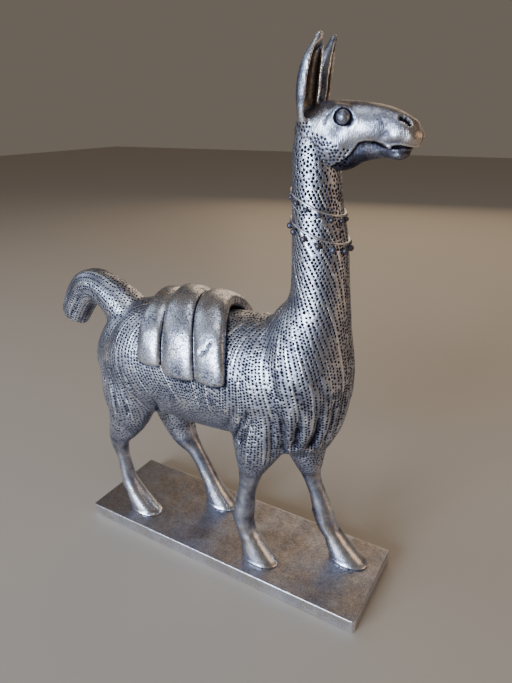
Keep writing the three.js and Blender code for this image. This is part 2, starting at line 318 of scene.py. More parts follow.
# Folds are grooves pressed into the fleece: a path of [x, y, z], how wide and how deep.
FOLDS = [
    {"path": [[60, -31, 150], [60, -29, 136], [58, -25, 118]], "wide": 2.4, "deep": 2.2},
    {"path": [[72, -29, 153], [71, -27.5, 141], [67, -25, 124]], "wide": 2.4, "deep": 2.6},
    {"path": [[83, -22, 152], [81, -20, 138], [76, -19.5, 124]], "wide": 2.6, "deep": 3.0},
    {"path": [[88.5, -15, 160], [87.5, -13, 145], [83, -13, 128]], "wide": 2.4, "deep": 2.4},
    {"path": [[91.5, -7, 164], [90, -7.5, 148], [86, -7, 130]], "wide": 2.2, "deep": 1.8},
    {"path": [[54, -31, 147], [53.5, -28, 132], [51, -26, 112]], "wide": 2.0, "deep": 1.5},
    {"path": [[38, -33, 147], [32, -31, 135], [21, -27, 117]], "wide": 1.9, "deep": 2.4},
    {"path": [[43, -34, 146], [38, -32, 133], [30, -31, 120]], "wide": 1.7, "deep": 1.3},
    {"path": [[29, -34, 150], [24, -33, 138], [16, -30, 124]], "wide": 2.2, "deep": 1.2},
    {"path": [[-45, -31, 131], [-48, -26, 119], [-52, -22, 110]], "wide": 2.6, "deep": 2.6},
    {"path": [[-84, -33, 146], [-83, -32, 128], [-83, -31, 110]], "wide": 1.8, "deep": 1.2},
    {"path": [[-73, -35, 150], [-71, -34, 132], [-73, -31, 112]], "wide": 1.8, "deep": 1.2},
    {"path": [[-66, -35, 146], [-61, -34, 130], [-62, -31, 114]], "wide": 1.6, "deep": 1.0},
    {"path": [[-92, -29, 150], [-93, -28, 130], [-94, -26, 108]], "wide": 1.8, "deep": 1.1},
    {"path": [[68, -31, 172], [77, -28, 156]], "wide": 2.2, "deep": 0.8},
    {"path": [[52, -34, 178], [58, -33, 160]], "wide": 2.0, "deep": 0.7},
    {"path": [[79, -25, 178], [86, -20, 162]], "wide": 2.2, "deep": 0.8},
]
FOLD_SHARE = 0.72
TAIL_LOCKS = {"count": 7, "deep": 0.5, "start": -108}
HEAD_VOXEL = 0.6
LEG_VOXEL = 0.85
SLAB = {"corner": 2.5, "edge": 1.0, "step": 1.7}
CORD_RELIEF = 0.85
BEAD_RELIEF = 0.56
STRAND = {"height": 268.5, "dip": 9.5, "cord": 0.4, "turn": (-165, -100, 4)}

# Grooves of the face, drawn on its right side and shared by both.
FACE_GROOVES = [
    {"path": [[108.2, -6.6, 305.6], [110, -6, 306.3], [112.5, -5, 306.6], [116.2, -4.6, 306.4], [118.7, -2.6, 305.9],
              [120, 0, 305.7]], "wide": 0.7, "deep": 1.5, "swell": 0.2, "fade": (0.2, 0)},
    {"path": [[123.5, 0, 314], [123, 0, 309], [120.5, 0, 305.5]], "wide": 0.8, "deep": 0.9, "swell": 0.2,
     "fade": (0.3, 0)},
    {"path": [[89.5, -10.5, 321.5], [88.6, -11, 318.4], [86.5, -11.8, 315.6]], "wide": 1.1, "deep": 0.55,
     "swell": 0.2, "fade": (0.3, 0.4)},
    {"path": [[77, -12.3, 324], [74, -12.3, 319.5], [75.5, -12.8, 316]], "wide": 1.2, "deep": 0.4,
     "swell": 0.2, "fade": (0.3, 0.4)},
]
# Low lumps and hollows of the face: [x, y, z, reach, height].
FACE_LUMPS = [
    [110.6, -8, 311.4, 3.6, 0.75],
    [98, -9.6, 314, 5.2, 0.55],
    [105.6, -8.6, 312.5, 2.6, -0.6],
    [105.4, -7.6, 317, 2.4, -0.35],
    [81.5, -12.6, 313.8, 3.2, -0.8],
    [79, -9.5, 326, 3.6, 0.45],
    [96, -6.5, 321.5, 3.4, -0.3],
    [83, -12.2, 305, 6.0, 0.4],
    [118.5, -4.5, 311.5, 2.6, 0.35],
    [121.6, 0, 315.5, 2.2, -0.45],
    [119.6, 0, 318.6, 2.4, 0.35],
    [113, -4.5, 301.8, 3.6, 0.5],
]
NOSTRIL = [[112.8, -5.4, 320.2, 1.5], [114.6, -5.4, 319.8, 1.5], [116.1, -5.4, 318.8, 1.3], [117.1, -5.6, 317.4, 0.95]]
NOSTRIL_DEEP = 1.5
# The lower jaw lies back under the cheek and the upper lip: [x, z] along the step between them.
JAW_STEP = [
    [66, 300], [71.3, 297.8], [74.4, 295.8], [78.1, 296.8], [83.4, 299.4], [87.4, 302.7], [89.8, 305.8],
    [92, 308.7], [95.3, 309.6], [100.3, 309.4], [104.1, 308.2], [108, 305.8], [112.5, 306.6], [118.7, 306],
    [124, 305.6],
]
JAW_DEEP = 0.8
EYE_RING = {"radius": 4.3, "wide": 0.5, "deep": 0.75}
EAR_ROOT = {"low": 318, "high": 331, "reach": 11, "rounds": 14}
CHEEK_PITS = {"spacing": 2.1, "radius": 0.5, "deep": 0.55}
PACK_MARKS = [
    {"path": [[1.5, -36.2, 177.5], [5, -35.3, 181.5], [8.5, -33.2, 186]], "wide": 0.55, "deep": 0.7, "swell": 0.1},
    {"path": [[1, -35.6, 181], [4.5, -35.3, 182.5], [7, -34.8, 181]], "wide": 0.5, "deep": 0.5, "swell": 0.1},
]


# Numbers and curves

def mix(a, b, share):
    return a + (b - a) * share


def smooth_step(low, high, value):
    share = np.clip((value - low) / (high - low), 0, 1)
    return share * share * (3 - 2 * share)


def row_at(rows, position):
    """The row at a place between two rows, on a smooth curve through all of them."""
    last = len(rows) - 1
    index = min(int(position), last - 1)
    t = position - index
    before, start = np.array(rows[max(index - 1, 0)], float), np.array(rows[index], float)
    end, after = np.array(rows[index + 1], float), np.array(rows[min(index + 2, last)], float)
    slope_in = (end - before) / 2
    slope_out = (after - start) / 2
    t2, t3 = t * t, t * t * t
    return (
        start * (2 * t3 - 3 * t2 + 1)
        + slope_in * (t3 - 2 * t2 + t)
        + end * (3 * t2 - 2 * t3)
        + slope_out * (t3 - t2)
    )


def super_sine(angle, power):
    s = np.sin(angle)
    return np.sign(s) * np.abs(s) ** (2 / power)


def unit(vectors):
    length = np.linalg.norm(vectors, axis=-1, keepdims=True)
    return vectors / np.maximum(length, 1e-9)


def grain(points, scale, octaves=3, seed=0.0):
    """Smooth noise of about -1 to 1 at each point, with features of about the given size."""
    shift = Vector((seed * 17.3, seed * 5.1, seed * 9.7))
    return np.array([
        noise.fractal(Vector(p) / scale + shift, 1.0, 2.0, octaves) for p in points
    ])


# Shells

def skin(rings):
    """A closed shell of points and faces over a list of rings of equal length."""
    rings = [np.asarray(ring, float) for ring in rings]
    sides = len(rings[0])
    points = np.concatenate(rings + [rings[0].mean(0)[None], rings[-1].mean(0)[None]])
    faces = []
    for r in range(len(rings) - 1):
        for s in range(sides):
            t = (s + 1) % sides
            faces.append([r * sides + s, r * sides + t, (r + 1) * sides + t, (r + 1) * sides + s])
    first, last = len(points) - 2, (len(rings) - 1) * sides
    for s in range(sides):
        t = (s + 1) % sides
        faces.append([first, t, s])
        faces.append([first + 1, last + s, last + t])
    return facing_out(points, faces)


def facing_out(points, faces):
    volume = 0.0
    for face in faces:
        a = points[face[0]]
        for i in range(1, len(face) - 1):
            volume += np.dot(a, np.cross(points[face[i]], points[face[i + 1]]))
    if volume < 0:
        faces = [face[::-1] for face in faces]
    return points, faces


def section(place, along, side, depth, width, scale, reach, sides, power):
    across = unit(side - along * np.dot(side, along))
    upward = np.cross(along, across)
    centre = place + along * reach * min(depth, width)
    angle = 2 * np.pi * np.arange(sides) / sides
    wide = super_sine(angle + np.pi / 2, power)[:, None] * width * scale
    deep = super_sine(angle, power)[:, None] * depth * scale
    return centre + across * wide + upward * deep


def dome(height, count):
    turns = [(i / (count + 0.45)) * math.pi / 2 for i in range(1, count + 1)] if height > 0 else []
    return [(math.cos(t), math.sin(t) * height) for t in turns]


def limb(rows, sides=48, steps=6, power=2.0, side=(0, 1, 0), domes=(0.9, 0.9), dome_rings=7):
    """A rounded limb over a path of rows, closed at each end by a dome of its own section."""
    side = np.array(side, float)
    count = (len(rows) - 1) * steps
    stations = [row_at(rows, i / steps) for i in range(count + 1)]
    rings = []
    for i, row in enumerate(stations):
        along = unit(stations[min(i + 1, count)][:3] - stations[max(i - 1, 0)][:3])
        shape = (row[:3], along, side, row[3], row[4])
        if i == 0:
            rings += [section(*shape, s, -r, sides, power) for s, r in dome(domes[0], dome_rings)[::-1]]
        rings.append(section(*shape, 1, 0, sides, power))
        if i == count:
            rings += [section(*shape, s, r, sides, power) for s, r in dome(domes[1], dome_rings)]
    return skin(rings)


def ball(at, half, rings=20, sides=32):
    at, half = np.array(at, float), np.array(half, float)
    circles = []
    for i in range(1, rings):
        tilt = math.pi * i / rings
        turn = 2 * np.pi * np.arange(sides) / sides
        unit_ring = np.stack([
            np.sin(tilt) * np.cos(turn), np.sin(tilt) * np.sin(turn), np.full(sides, np.cos(tilt)),
        ], 1)
        circles.append(at + unit_ring * half)
    return skin(circles)


def rows_between(rows, start, end, count, grow=0.0):
    """Rows respaced from one place to another, each section grown by a margin."""
    out = []
    for i in range(count):
        row = row_at(rows, start + (end - start) * i / (count - 1))
        row[3:] += grow
        out.append(list(row))
    return out


def make_object(name, points, faces):
    mesh = bpy.data.meshes.new(name)
    mesh.from_pydata([tuple(p) for p in points], [], [list(f) for f in faces])
    obj = bpy.data.objects.new(name, mesh)
    bpy.context.scene.collection.objects.link(obj)
    return obj


def joined(shells):
    points, faces, start = [], [], 0
    for shell_points, shell_faces in shells:
        points.append(shell_points)
        faces += [[i + start for i in face] for face in shell_faces]
        start += len(shell_points)
    return np.concatenate(points), faces


def read_mesh(mesh):
    """Points, quads as an n by 4 array with a repeated corner for a triangle."""
    points = np.empty(len(mesh.vertices) * 3, np.float32)
    mesh.vertices.foreach_get("co", points)
    faces = np.array([list(p.vertices) + [p.vertices[0]] * (4 - len(p.vertices)) for p in mesh.polygons])
    return points.reshape(-1, 3).astype(float), faces


def fused(shells, voxel):
    """Overlapping shells as one skin of nearly square faces."""
    points, faces = joined(shells)
    obj = make_object("fuse", points, faces)
    fuse = obj.modifiers.new("Fuse", "REMESH")
    fuse.mode = "VOXEL"
    fuse.voxel_size = voxel
    fuse.adaptivity = 0
    depsgraph = bpy.context.evaluated_depsgraph_get()
    mesh = bpy.data.meshes.new_from_object(obj.evaluated_get(depsgraph))
    bpy.data.objects.remove(obj)
    result = read_mesh(mesh)
    bpy.data.meshes.remove(mesh)
    return result


def as_triangles(points, quads):
    """Each four-sided face cut along its shorter diagonal."""
    a, b, c, d = (points[quads[:, i]] for i in range(4))
    short = np.linalg.norm(a - c, axis=1) <= np.linalg.norm(b - d, axis=1)
    first = np.where(short[:, None], quads[:, [0, 1, 2]], quads[:, [0, 1, 3]])
    second = np.where(short[:, None], quads[:, [0, 2, 3]], quads[:, [1, 2, 3]])
    triangles = np.concatenate([first, second])
    real = (triangles[:, 0] != triangles[:, 1]) & (triangles[:, 1] != triangles[:, 2])
    return triangles[real & (triangles[:, 0] != triangles[:, 2])]


def edges_of(triangles):
    pairs = np.concatenate([triangles[:, [0, 1]], triangles[:, [1, 2]], triangles[:, [2, 0]]])
    return np.unique(np.sort(pairs, 1), axis=0)


def neighbour_mean(points, edges):
    total = np.zeros_like(points)
    count = np.bincount(edges.ravel(), minlength=len(points))
    for k in range(points.shape[1]):
        total[:, k] = np.bincount(edges[:, 0], points[edges[:, 1], k], len(points))
        total[:, k] += np.bincount(edges[:, 1], points[edges[:, 0], k], len(points))
    return total / np.maximum(count, 1)[:, None]


def normals_of(points, triangles):
    a, b, c = (points[triangles[:, i]] for i in range(3))
    flat = np.cross(b - a, c - a)
    total = np.zeros_like(points)
    for k in range(3):
        for corner in range(3):
            total[:, k] += np.bincount(triangles[:, corner], flat[:, k], len(points))
    return unit(total)


def smoothed(points, edges, rounds, share=0.5):
    for _ in range(rounds):
        points = mix(points, neighbour_mean(points, edges), share)
    return points


def relaxed(points, triangles, edges, rounds, fixed=None, share=0.6):
    """Evens the spacing by sliding each point along the surface, never off it."""
    for _ in range(rounds):
        normals = normals_of(points, triangles)
        step = neighbour_mean(points, edges) - points
        step -= normals * np.sum(step * normals, 1, keepdims=True)
        if fixed is not None:
            step[fixed] = 0
        points = points + step * share
    return points


def tree_of(points, triangles):
    return BVHTree.FromPolygons(points.tolist(), triangles.tolist())


def back_on(points, tree, chosen=None):
    """The chosen points, or all of them, put back on the surface."""
    points = points.copy()
    for i in range(len(points)) if chosen is None else chosen:
        near = tree.find_nearest(points[i])[0]
        points[i] = near
    return points


# The fleece's body

def leg_bell(leg):
    """The fleece round the top of a leg, a little wider than the bare leg that comes out of it."""
    return limb(rows_between(leg["rows"], 0, leg["hem"], 8, 0.35), domes=(0, 0.32))


def fleece_body():
    shells = [
        limb(TORSO, sides=64, power=2.15, domes=(0.55, 0)),
        limb(NECK, sides=56, domes=(0.5, 0.5)),
        limb(TAIL, domes=(0, 0.4)),
    ]
    shells += [leg_bell(leg) for leg in LEGS.values()]
    coarse, faces = fused(shells, 2.0)
    triangles = as_triangles(coarse, faces)
    coarse = smoothed(coarse, edges_of(triangles), 5)
    points, faces = fused([(coarse, [[int(i) for i in t] for t in triangles])], FLEECE_VOXEL)
    triangles = as_triangles(points, faces)
    edges = edges_of(triangles)
    points = smoothed(points, edges, 2)
    return relaxed(points, triangles, edges, 8), faces


def distance_to_path(points, path):
    """Distance from each point to a polyline, and how far along it, from 0 to 1, the nearest place is."""
    best = np.full(len(points), 1e9)
    along = np.zeros(len(points))
    path = np.array(path, float)
    spans = len(path) - 1
    for i in range(spans):
        a, b = path[i], path[i + 1]
        t = np.clip((points - a) @ (b - a) / np.dot(b - a, b - a), 0, 1)
        gap = np.linalg.norm(points - a - t[:, None] * (b - a), axis=1)
        nearer = gap < best
        best = np.where(nearer, gap, best)
        along = np.where(nearer, (i + t) / spans, along)
    return best, along


def laid_on(points, path):
    """A path set on the surface, with a place about every 2 mm."""
    path = np.array(path, float)
    count = max(2, int(np.linalg.norm(np.diff(path, axis=0), axis=1).sum() / 2))
    share = np.linspace(0, len(path) - 1, count + 1)
    index = np.minimum(share.astype(int), len(path) - 2)
    places = path[index] + (path[index + 1] - path[index]) * (share - index)[:, None]
    nearest = [int(np.argmin(np.sum((points - p) ** 2, 1))) for p in places]
    laid = points[nearest]
    laid[1:-1] = (laid[:-2] + 2 * laid[1:-1] + laid[2:]) / 4
    return laid


def groove_depths(points, grooves):
    """How far each point sinks in a list of grooves, with a swelling along both sides."""
    near = near_copy(points)
    total = np.zeros(len(points))
    for groove in grooves:
        gap, along = distance_to_path(near, laid_on(near, groove["path"]))
        start, end = groove.get("fade", (0.3, 0.0))
        fade = 1.0
        if start > 0:
            fade = fade * mix(0.2, 1, smooth_step(0, start, along))
        if end > 0:
            fade = fade * mix(0.1, 1, smooth_step(1, 1 - end, along))
        dip = np.exp(-((gap / groove["wide"]) ** 2))
        swell = np.exp(-(((gap - 2.1 * groove["wide"]) / groove["wide"]) ** 2))
        total += groove["deep"] * fade * (groove.get("swell", 0.32) * swell - dip)
    return total


def lump_heights(points, lumps):
    """How far each point rises on a list of low lumps."""
    near = near_copy(points)
    total = np.zeros(len(points))
    for x, y, z, reach, height in lumps:
        gap = np.linalg.norm(near - np.array([x, y, z]), axis=1)
        total += height * np.exp(-((gap / reach) ** 2))
    return total


def fold_depths(points):
    """How far each point of the fleece sinks in the folds, with a swelling on both sides of a fold."""
    return groove_depths(points, FOLDS) * FOLD_SHARE


def tail_path():
    return np.array([row_at(TAIL, i / 4)[:3] for i in range((len(TAIL) - 1) * 4 + 1)])


def tail_depths(points):
    """Locks of the tail: grooves that run along it."""
    path = tail_path()
    _, along = distance_to_path(points, path)
    place = along * (len(path) - 1)
    index = np.clip(place.astype(int), 0, len(path) - 2)
    centre = path[index] + (path[index + 1] - path[index]) * (place - index)[:, None]
    tangent = unit(path[index + 1] - path[index])
    across = np.array([0, 1.0, 0])
    upward = np.cross(tangent, across)
    offset = points - centre
    turn = np.arctan2(offset @ across, np.sum(offset * upward, 1))
    wave = np.cos(turn * TAIL_LOCKS["count"] + 1.4 * np.sin(along * 7))
    groove = np.minimum(wave, 0.35) - 0.1
    return TAIL_LOCKS["deep"] * groove * smooth_step(-TAIL_LOCKS["start"] - 9, -TAIL_LOCKS["start"] + 9, -points[:, 0])


# The comb of the fleece

COMB_XZ = np.array([g[:2] for g in COMB], float)
COMB_LEAN = np.radians([g[2] for g in COMB])
TAIL_POINTS = tail_path()
TAIL_ALONG = unit(np.gradient(TAIL_POINTS, axis=0))


def comb_at(point, normal):
    """The way the rows run at a point of the surface, or None where they have no way."""
    gap = COMB_XZ - np.array([point[0], point[2]])
    weight = np.exp(-np.sum(gap * gap, 1) / (2 * COMB_REACH ** 2)) + 1e-9
    lean = float(np.sum(weight * COMB_LEAN) / np.sum(weight))
    way = Vector((math.sin(lean), 0, -math.cos(lean)))
    tail = min(max((-88 - point[0]) / 14, 0), 1) if point[2] > 150 else 0
    if tail > 0:
        nearest = int(np.argmin(np.sum((TAIL_POINTS - np.array(point)) ** 2, 1)))
        way = way.lerp(Vector(TAIL_ALONG[nearest]), tail)
    way = way - normal * way.dot(normal)
    if way.length < 0.13:
        return None
    return way.normalized()


class Cells:
    """Points kept in cubes, so that the ones near a place are found quickly."""

    def __init__(self, size):
        self.size = size
        self.kept = {}

    def key(self, p):
        return (int(p[0] // self.size), int(p[1] // self.size), int(p[2] // self.size))

    def add(self, p, owner):
        self.kept.setdefault(self.key(p), []).append((p, owner))

    def nearest(self, p, skip=None):
        best = self.size * self.size
        x, y, z = self.key(p)
        for i in (x - 1, x, x + 1):
            for j in (y - 1, y, y + 1):
                for k in (z - 1, z, z + 1):
                    for q, owner in self.kept.get((i, j, k), ()):
                        if owner != skip:
                            best = min(best, (q - p).length_squared)
        return math.sqrt(best)


def trace(seed, tree, free, longest):
    """A row through a seed point, both ways along the comb, as long as the surface is free."""
    halves = []
    for sign in (1, -1):
        points = []
        place, normal = seed
        way = None
        while len(points) * TRACE_STEP < longest / 2:
            ahead = comb_at(place, normal)
            if ahead is None:
                break
            if way is not None and ahead.dot(way) < 0.3:
                break
            way = ahead
            near = tree.find_nearest(place + way * sign * TRACE_STEP)
            if near[0] is None or not free(near[0], near[1]):
                break
            place, normal = near[0], near[1]
            points.append((place, normal))
        halves.append(points)
    return halves[1][::-1] + [seed] + halves[0]


def fleece_rows(tree, usable):
    """Ridge lines far apart, then rows of pits between and beside them."""
    rng = random.Random(SEED)
    ridges, rows = [], []
    ridge_cells, row_cells = Cells(RIDGE["gap"]), Cells(ROW_GAP * 1.25)
    seeds = usable["seeds"][:]
    rng.shuffle(seeds)
    for seed in seeds[:900]:
        if ridge_cells.nearest(seed[0]) < RIDGE["gap"] * 0.99:
            continue

        def free(p, n):
            return usable["ok"](p, n) and not loose(p) and ridge_cells.nearest(p) > RIDGE["gap"] * 0.5

        line = trace(seed, tree, free, rng.uniform(RIDGE["shortest"], RIDGE["longest"]))
        if len(line) * TRACE_STEP > RIDGE["shortest"]:
            for p, _ in line:
                ridge_cells.add(p, len(ridges))
            ridges.append(line)
    beside = Cells(ROW_GAP)
    for k, line in enumerate(ridges):
        for p, _ in line:
            beside.add(p, k)

    def row_free(p, n):
        if not usable["ok"](p, n):
            return False
        gap = ROW_GAP * coarse(p)
        return row_cells.nearest(p) > gap * 0.78 and not loose(p) and beside.nearest(p) > gap * 0.33

    queue = []
    for line in ridges:
        queue += side_seeds(line, 0.47, tree)
    queue += seeds
    at = 0
    while at < len(queue):
        seed = queue[at]
        at += 1
        if row_cells.nearest(seed[0]) < ROW_GAP * coarse(seed[0]) * 0.93 or not row_free(seed[0], seed[1]):
            continue
        line = trace(seed, tree, row_free, 400)
        if len(line) < 2:
            continue
        for p, _ in line:
            row_cells.add(p, len(rows))
        rows.append(line)
        queue[at:at] = side_seeds(line, 1, tree)
    return ridges, rows


def side_seeds(line, share, tree):
    out = []
    for i in range(2, len(line), 5):
        place, normal = line[i]
        ahead = comb_at(place, normal)
        if ahead is None:
            continue
        across = ahead.cross(normal)
        for sign in (1, -1):
            near = tree.find_nearest(place + across * sign * share * ROW_GAP * coarse(place))
            if near[0] is not None:
                out.append((near[0], near[1]))
    return out


def loose(p):
    """Places where the pits lie in no rows: the belly, the lowest fleece of the legs and the top of the neck."""
    belly = p[2] < 137 and -58 < p[0] < 28
    return belly or p[2] < 104 or p[2] > 284


def coarse(p):
    """The rows and pits lie a little farther apart towards the rump."""
    return 1 + COARSE["more"] * min(max((COARSE["from"] - p[0]) / (COARSE["from"] - COARSE["to"]), 0), 1)


def pits_along(rows, ridges, seeds):
    """Pit centres spaced along each row, set between those of the rows beside it."""
    rng = random.Random(SEED + 1)
    cells = Cells(PIT_PITCH * 1.4)
    pits = []
    for k, line in enumerate(rows):
        reach = [0.0]
        for (p, _), (q, _) in zip(line, line[1:]):
            reach.append(reach[-1] + (q - p).length)
        pitch = PIT_PITCH * coarse(line[len(line) // 2][0])
        best = max(
            (sum(min(cells.nearest(on_line(line, reach, s)[0]), 2.4) for s in steps(reach[-1], start, pitch)), start)
            for start in [pitch * i / 6 for i in range(6)]
        )
        for s in steps(reach[-1], best[1], pitch):
            place, normal, way = on_line(line, reach, s + rng.uniform(-0.2, 0.2))
            if cells.nearest(place) < PIT["apart"]:
                continue
            pits.append((place, normal, way, rng.uniform(0.84, 1.14) * coarse(place)))
            cells.add(place, k)
    return pits + pits_between(cells, ridges, seeds, rng)


def pits_between(cells, ridges, seeds, rng):
    """Pits in the gaps that the rows leave, clear of the ridge lines."""
    crests = Cells(ROW_GAP)
    for line in ridges:
        for p, _ in line:
            crests.add(p, 0)
    pits = []
    for place, normal in seeds:
        apart = PIT["apart"] * 1.1 * coarse(place)
        if cells.nearest(place) < apart or crests.nearest(place) < ROW_GAP * 0.36:
            continue
        ahead = comb_at(place, normal)
        if ahead is None:
            continue
        pits.append((place, normal, ahead, rng.uniform(0.8, 1.05) * coarse(place)))
        cells.add(place, -1)
    return pits


def steps(length, start, pitch):
    return [start + i * pitch for i in range(int(max(length - start, 0) / pitch) + 1)]


def on_line(line, reach, s):
    s = min(max(s, 0), reach[-1] - 1e-6)
    lo, hi = 0, len(reach) - 1
    while hi - lo > 1:
        mid = (lo + hi) // 2
        if reach[mid] <= s:
            lo = mid
        else:
            hi = mid
    i = lo
    t = (s - reach[i]) / max(reach[i + 1] - reach[i], 1e-6)
    place = line[i][0].lerp(line[i + 1][0], t)
    return place, line[i][1], (line[i + 1][0] - line[i][0]).normalized()


def snap_to(points, places, used):
    """The nearest unused point for each place. A point is moved there, and its index kept."""
    kd = KDTree(len(points))
    for i, p in enumerate(points):
        kd.insert(p, i)
    kd.balance()
    taken = []
    for place in places:
        found = None
        for _, index, gap in kd.find_n(place, 3):
            if gap < 1.1 and index not in used:
                found = index
                break
        if found is not None:
            used.add(found)
            points[found] = place
        taken.append(found)
    return taken


def with_rings(points, triangles, pit_vertices, ways, sizes):
    """Cuts a ring of new points round each pit vertex, so that the pit has a crisp mouth."""
    is_pit = np.full(len(points), -1)
    is_pit[pit_vertices] = np.arange(len(pit_vertices))
    owner = np.max(np.where(is_pit[triangles] >= 0, np.arange(3)[None], -1), 1)
    touched = owner >= 0
    plain, fans = triangles[~touched], triangles[touched]
    order = (owner[touched][:, None] + np.arange(3)[None]) % 3
    fans = np.take_along_axis(fans, order, 1)
    spokes = np.concatenate([fans[:, [0, 1]], fans[:, [0, 2]]])
    unique, inverse = np.unique(spokes, axis=0, return_inverse=True)
    inverse = inverse.reshape(-1)
    centre, rim = points[unique[:, 0]], points[unique[:, 1]]
    spoke = rim - centre
    length = np.linalg.norm(spoke, axis=1)
    pit = is_pit[unique[:, 0]]
    cosine = np.abs(np.sum(unit(spoke) * ways[pit], 1))
    sine = np.sqrt(np.maximum(1 - cosine ** 2, 0))
    radius = sizes[pit] / np.sqrt((cosine / PIT["along"]) ** 2 + (sine / PIT["across"]) ** 2)
    radius = np.minimum(radius, length * 0.77)
    ring = centre + spoke * (radius / length)[:, None]
    ids = len(points) + inverse
    w1, w2 = ids[: len(fans)], ids[len(fans):]
    v, u1, u2 = fans[:, 0], fans[:, 1], fans[:, 2]
    made = np.concatenate([
        plain,
        np.stack([v, w1, w2], 1),
        np.stack([w1, u1, u2], 1),
        np.stack([w1, u2, w2], 1),
    ])
    return np.concatenate([points, ring]), made


def fleece():
    """The combed fleece of body, neck, tail and upper legs."""
    points, quads = fleece_body()
    triangles = as_triangles(points, quads)
    normals = normals_of(points, triangles)
    points = points + normals * (fold_depths(points) + tail_depths(points))[:, None]
    edges = edges_of(triangles)
    points = relaxed(smoothed(points, edges, 1), triangles, edges, 4)
    tree = tree_of(points, triangles)
    cover = pack_tree()

    def usable_at(p, n):
        if p.z > 311.5:
            return False
        return cover.ray_cast(p, n, 15)[0] is None

    normals = normals_of(points, triangles)
    rng = random.Random(SEED + 2)
    chosen = rng.sample(range(len(points)), len(points))
    seeds = [(Vector(points[i]), Vector(normals[i])) for i in chosen]
    seeds = [s for s in seeds if usable_at(*s)]
    ridges, rows = fleece_rows(tree, {"seeds": seeds[:12000], "ok": usable_at})
    pits = pits_along(rows, ridges, seeds)
    print("fleece points", len(points), "ridges", len(ridges), "rows", len(rows), "pits", len(pits), flush=True)

    used = set()
    taken = snap_to(points, [p[0] for p in pits], used)
    ridge_places = []
    for line in ridges:
        reach = [0.0]
        for (p, _), (q, _) in zip(line, line[1:]):
            reach.append(reach[-1] + (q - p).length)
        count = int(reach[-1] / RIDGE["spacing"])
        ridge_places += [on_line(line, reach, i * RIDGE["spacing"])[0] for i in range(count + 1)]
    crest = [i for i in snap_to(points, ridge_places, used) if i is not None]
    kept = keep_apart(taken, triangles, len(points))
    print("snapped", sum(t is not None for t in taken), "kept", len(kept))
    pit_vertices = np.array([taken[k] for k in kept])
    ways = np.array([pits[k][2] for k in kept])
    sizes = np.array([pits[k][3] for k in kept])

    fixed = np.zeros(len(points), bool)
    fixed[pit_vertices] = True
    fixed[crest] = True
    triangles = as_triangles(points, quads)
    edges = edges_of(triangles)
    points = relaxed(points, triangles, edges, 6, fixed)
    triangles = as_triangles(points, quads)
    base = len(points)
    points, triangles = with_rings(points, triangles, pit_vertices, ways, sizes)
    normals = normals_of(points, triangles)
    height = np.full(len(points), 0.16)
    relief = np.full(len(points), 0.62)
    height[base:] = 0.0
    relief[base:] = 0.36
    height[crest] = RIDGE["height"]
    relief[crest] = 1.0
    height[pit_vertices] = -PIT["depth"] * sizes
    relief[pit_vertices] = 0.0
    # Painted shade, with some patina: the fleece is darkened where the pack lies close over it.
    pack_contact_shade = np.zeros(len(points))
    for i in np.nonzero((points[:, 0] > -70) & (points[:, 0] < 26) & (points[:, 2] > 148))[0]:
        gap = cover.find_nearest(Vector(points[i]), 4)[3]
        if gap is not None:
            pack_contact_shade[i] = smooth_step(3.2, 0.6, gap)
    # Patina in the folds and tail locks, plus the painted shade beside the pack.
    patina_and_painted_light = np.clip(pack_contact_shade - (fold_depths(points) / 2.2 + tail_depths(points) / 1.3), 0, 1)
    points = points + normals * height[:, None]
    return points, triangles, relief, patina_and_painted_light


def keep_apart(taken, triangles, count):
    """The pits whose vertices share no triangle with another pit's."""
    owner = np.full(count, -1)
    for k, index in enumerate(taken):
        if index is not None:
            owner[index] = k
    corners = owner[triangles]
    crowded = np.sum(corners >= 0, 1) > 1
    dropped = set()
    for a, b, c in corners[crowded]:
        held = [k for k in (a, b, c) if k >= 0 and k not in dropped]
        dropped.update(held[1:])
    return [k for k, index in enumerate(taken) if index is not None and k not in dropped]


# The pack

def pack_roll(roll, sides=44, steps_count=64):
    rows = []
    for i in range(steps_count + 1):
        angle = (2 * i / steps_count - 1) * math.pi / 2
        down = abs(math.sin(angle)) ** PACK["swing"]
        x = roll["top"][0] + (roll["foot"][0] - roll["top"][0]) * down - PACK["skew"] * math.sin(angle)
        y = PACK["half_width"] * math.sin(angle)
        z = roll["foot"][1] + (roll["top"][1] - roll["foot"][1]) * math.cos(angle)
        thick = mix(PACK["top_thick"], PACK["foot_thick"], down)
        width = mix(roll["top_width"], roll["foot_width"], down)
        rows.append([x, y, z, thick, width / 2])
    return limb(rows, sides=sides, steps=1, power=PACK["power"], side=(1, 0, 0), domes=(0.9, 0.9))


def pack_tree():
    points, faces = joined([pack_roll(roll, 20, 24) for roll in PACK_ROLLS])
    return BVHTree.FromPolygons(points.tolist(), faces)


# The head

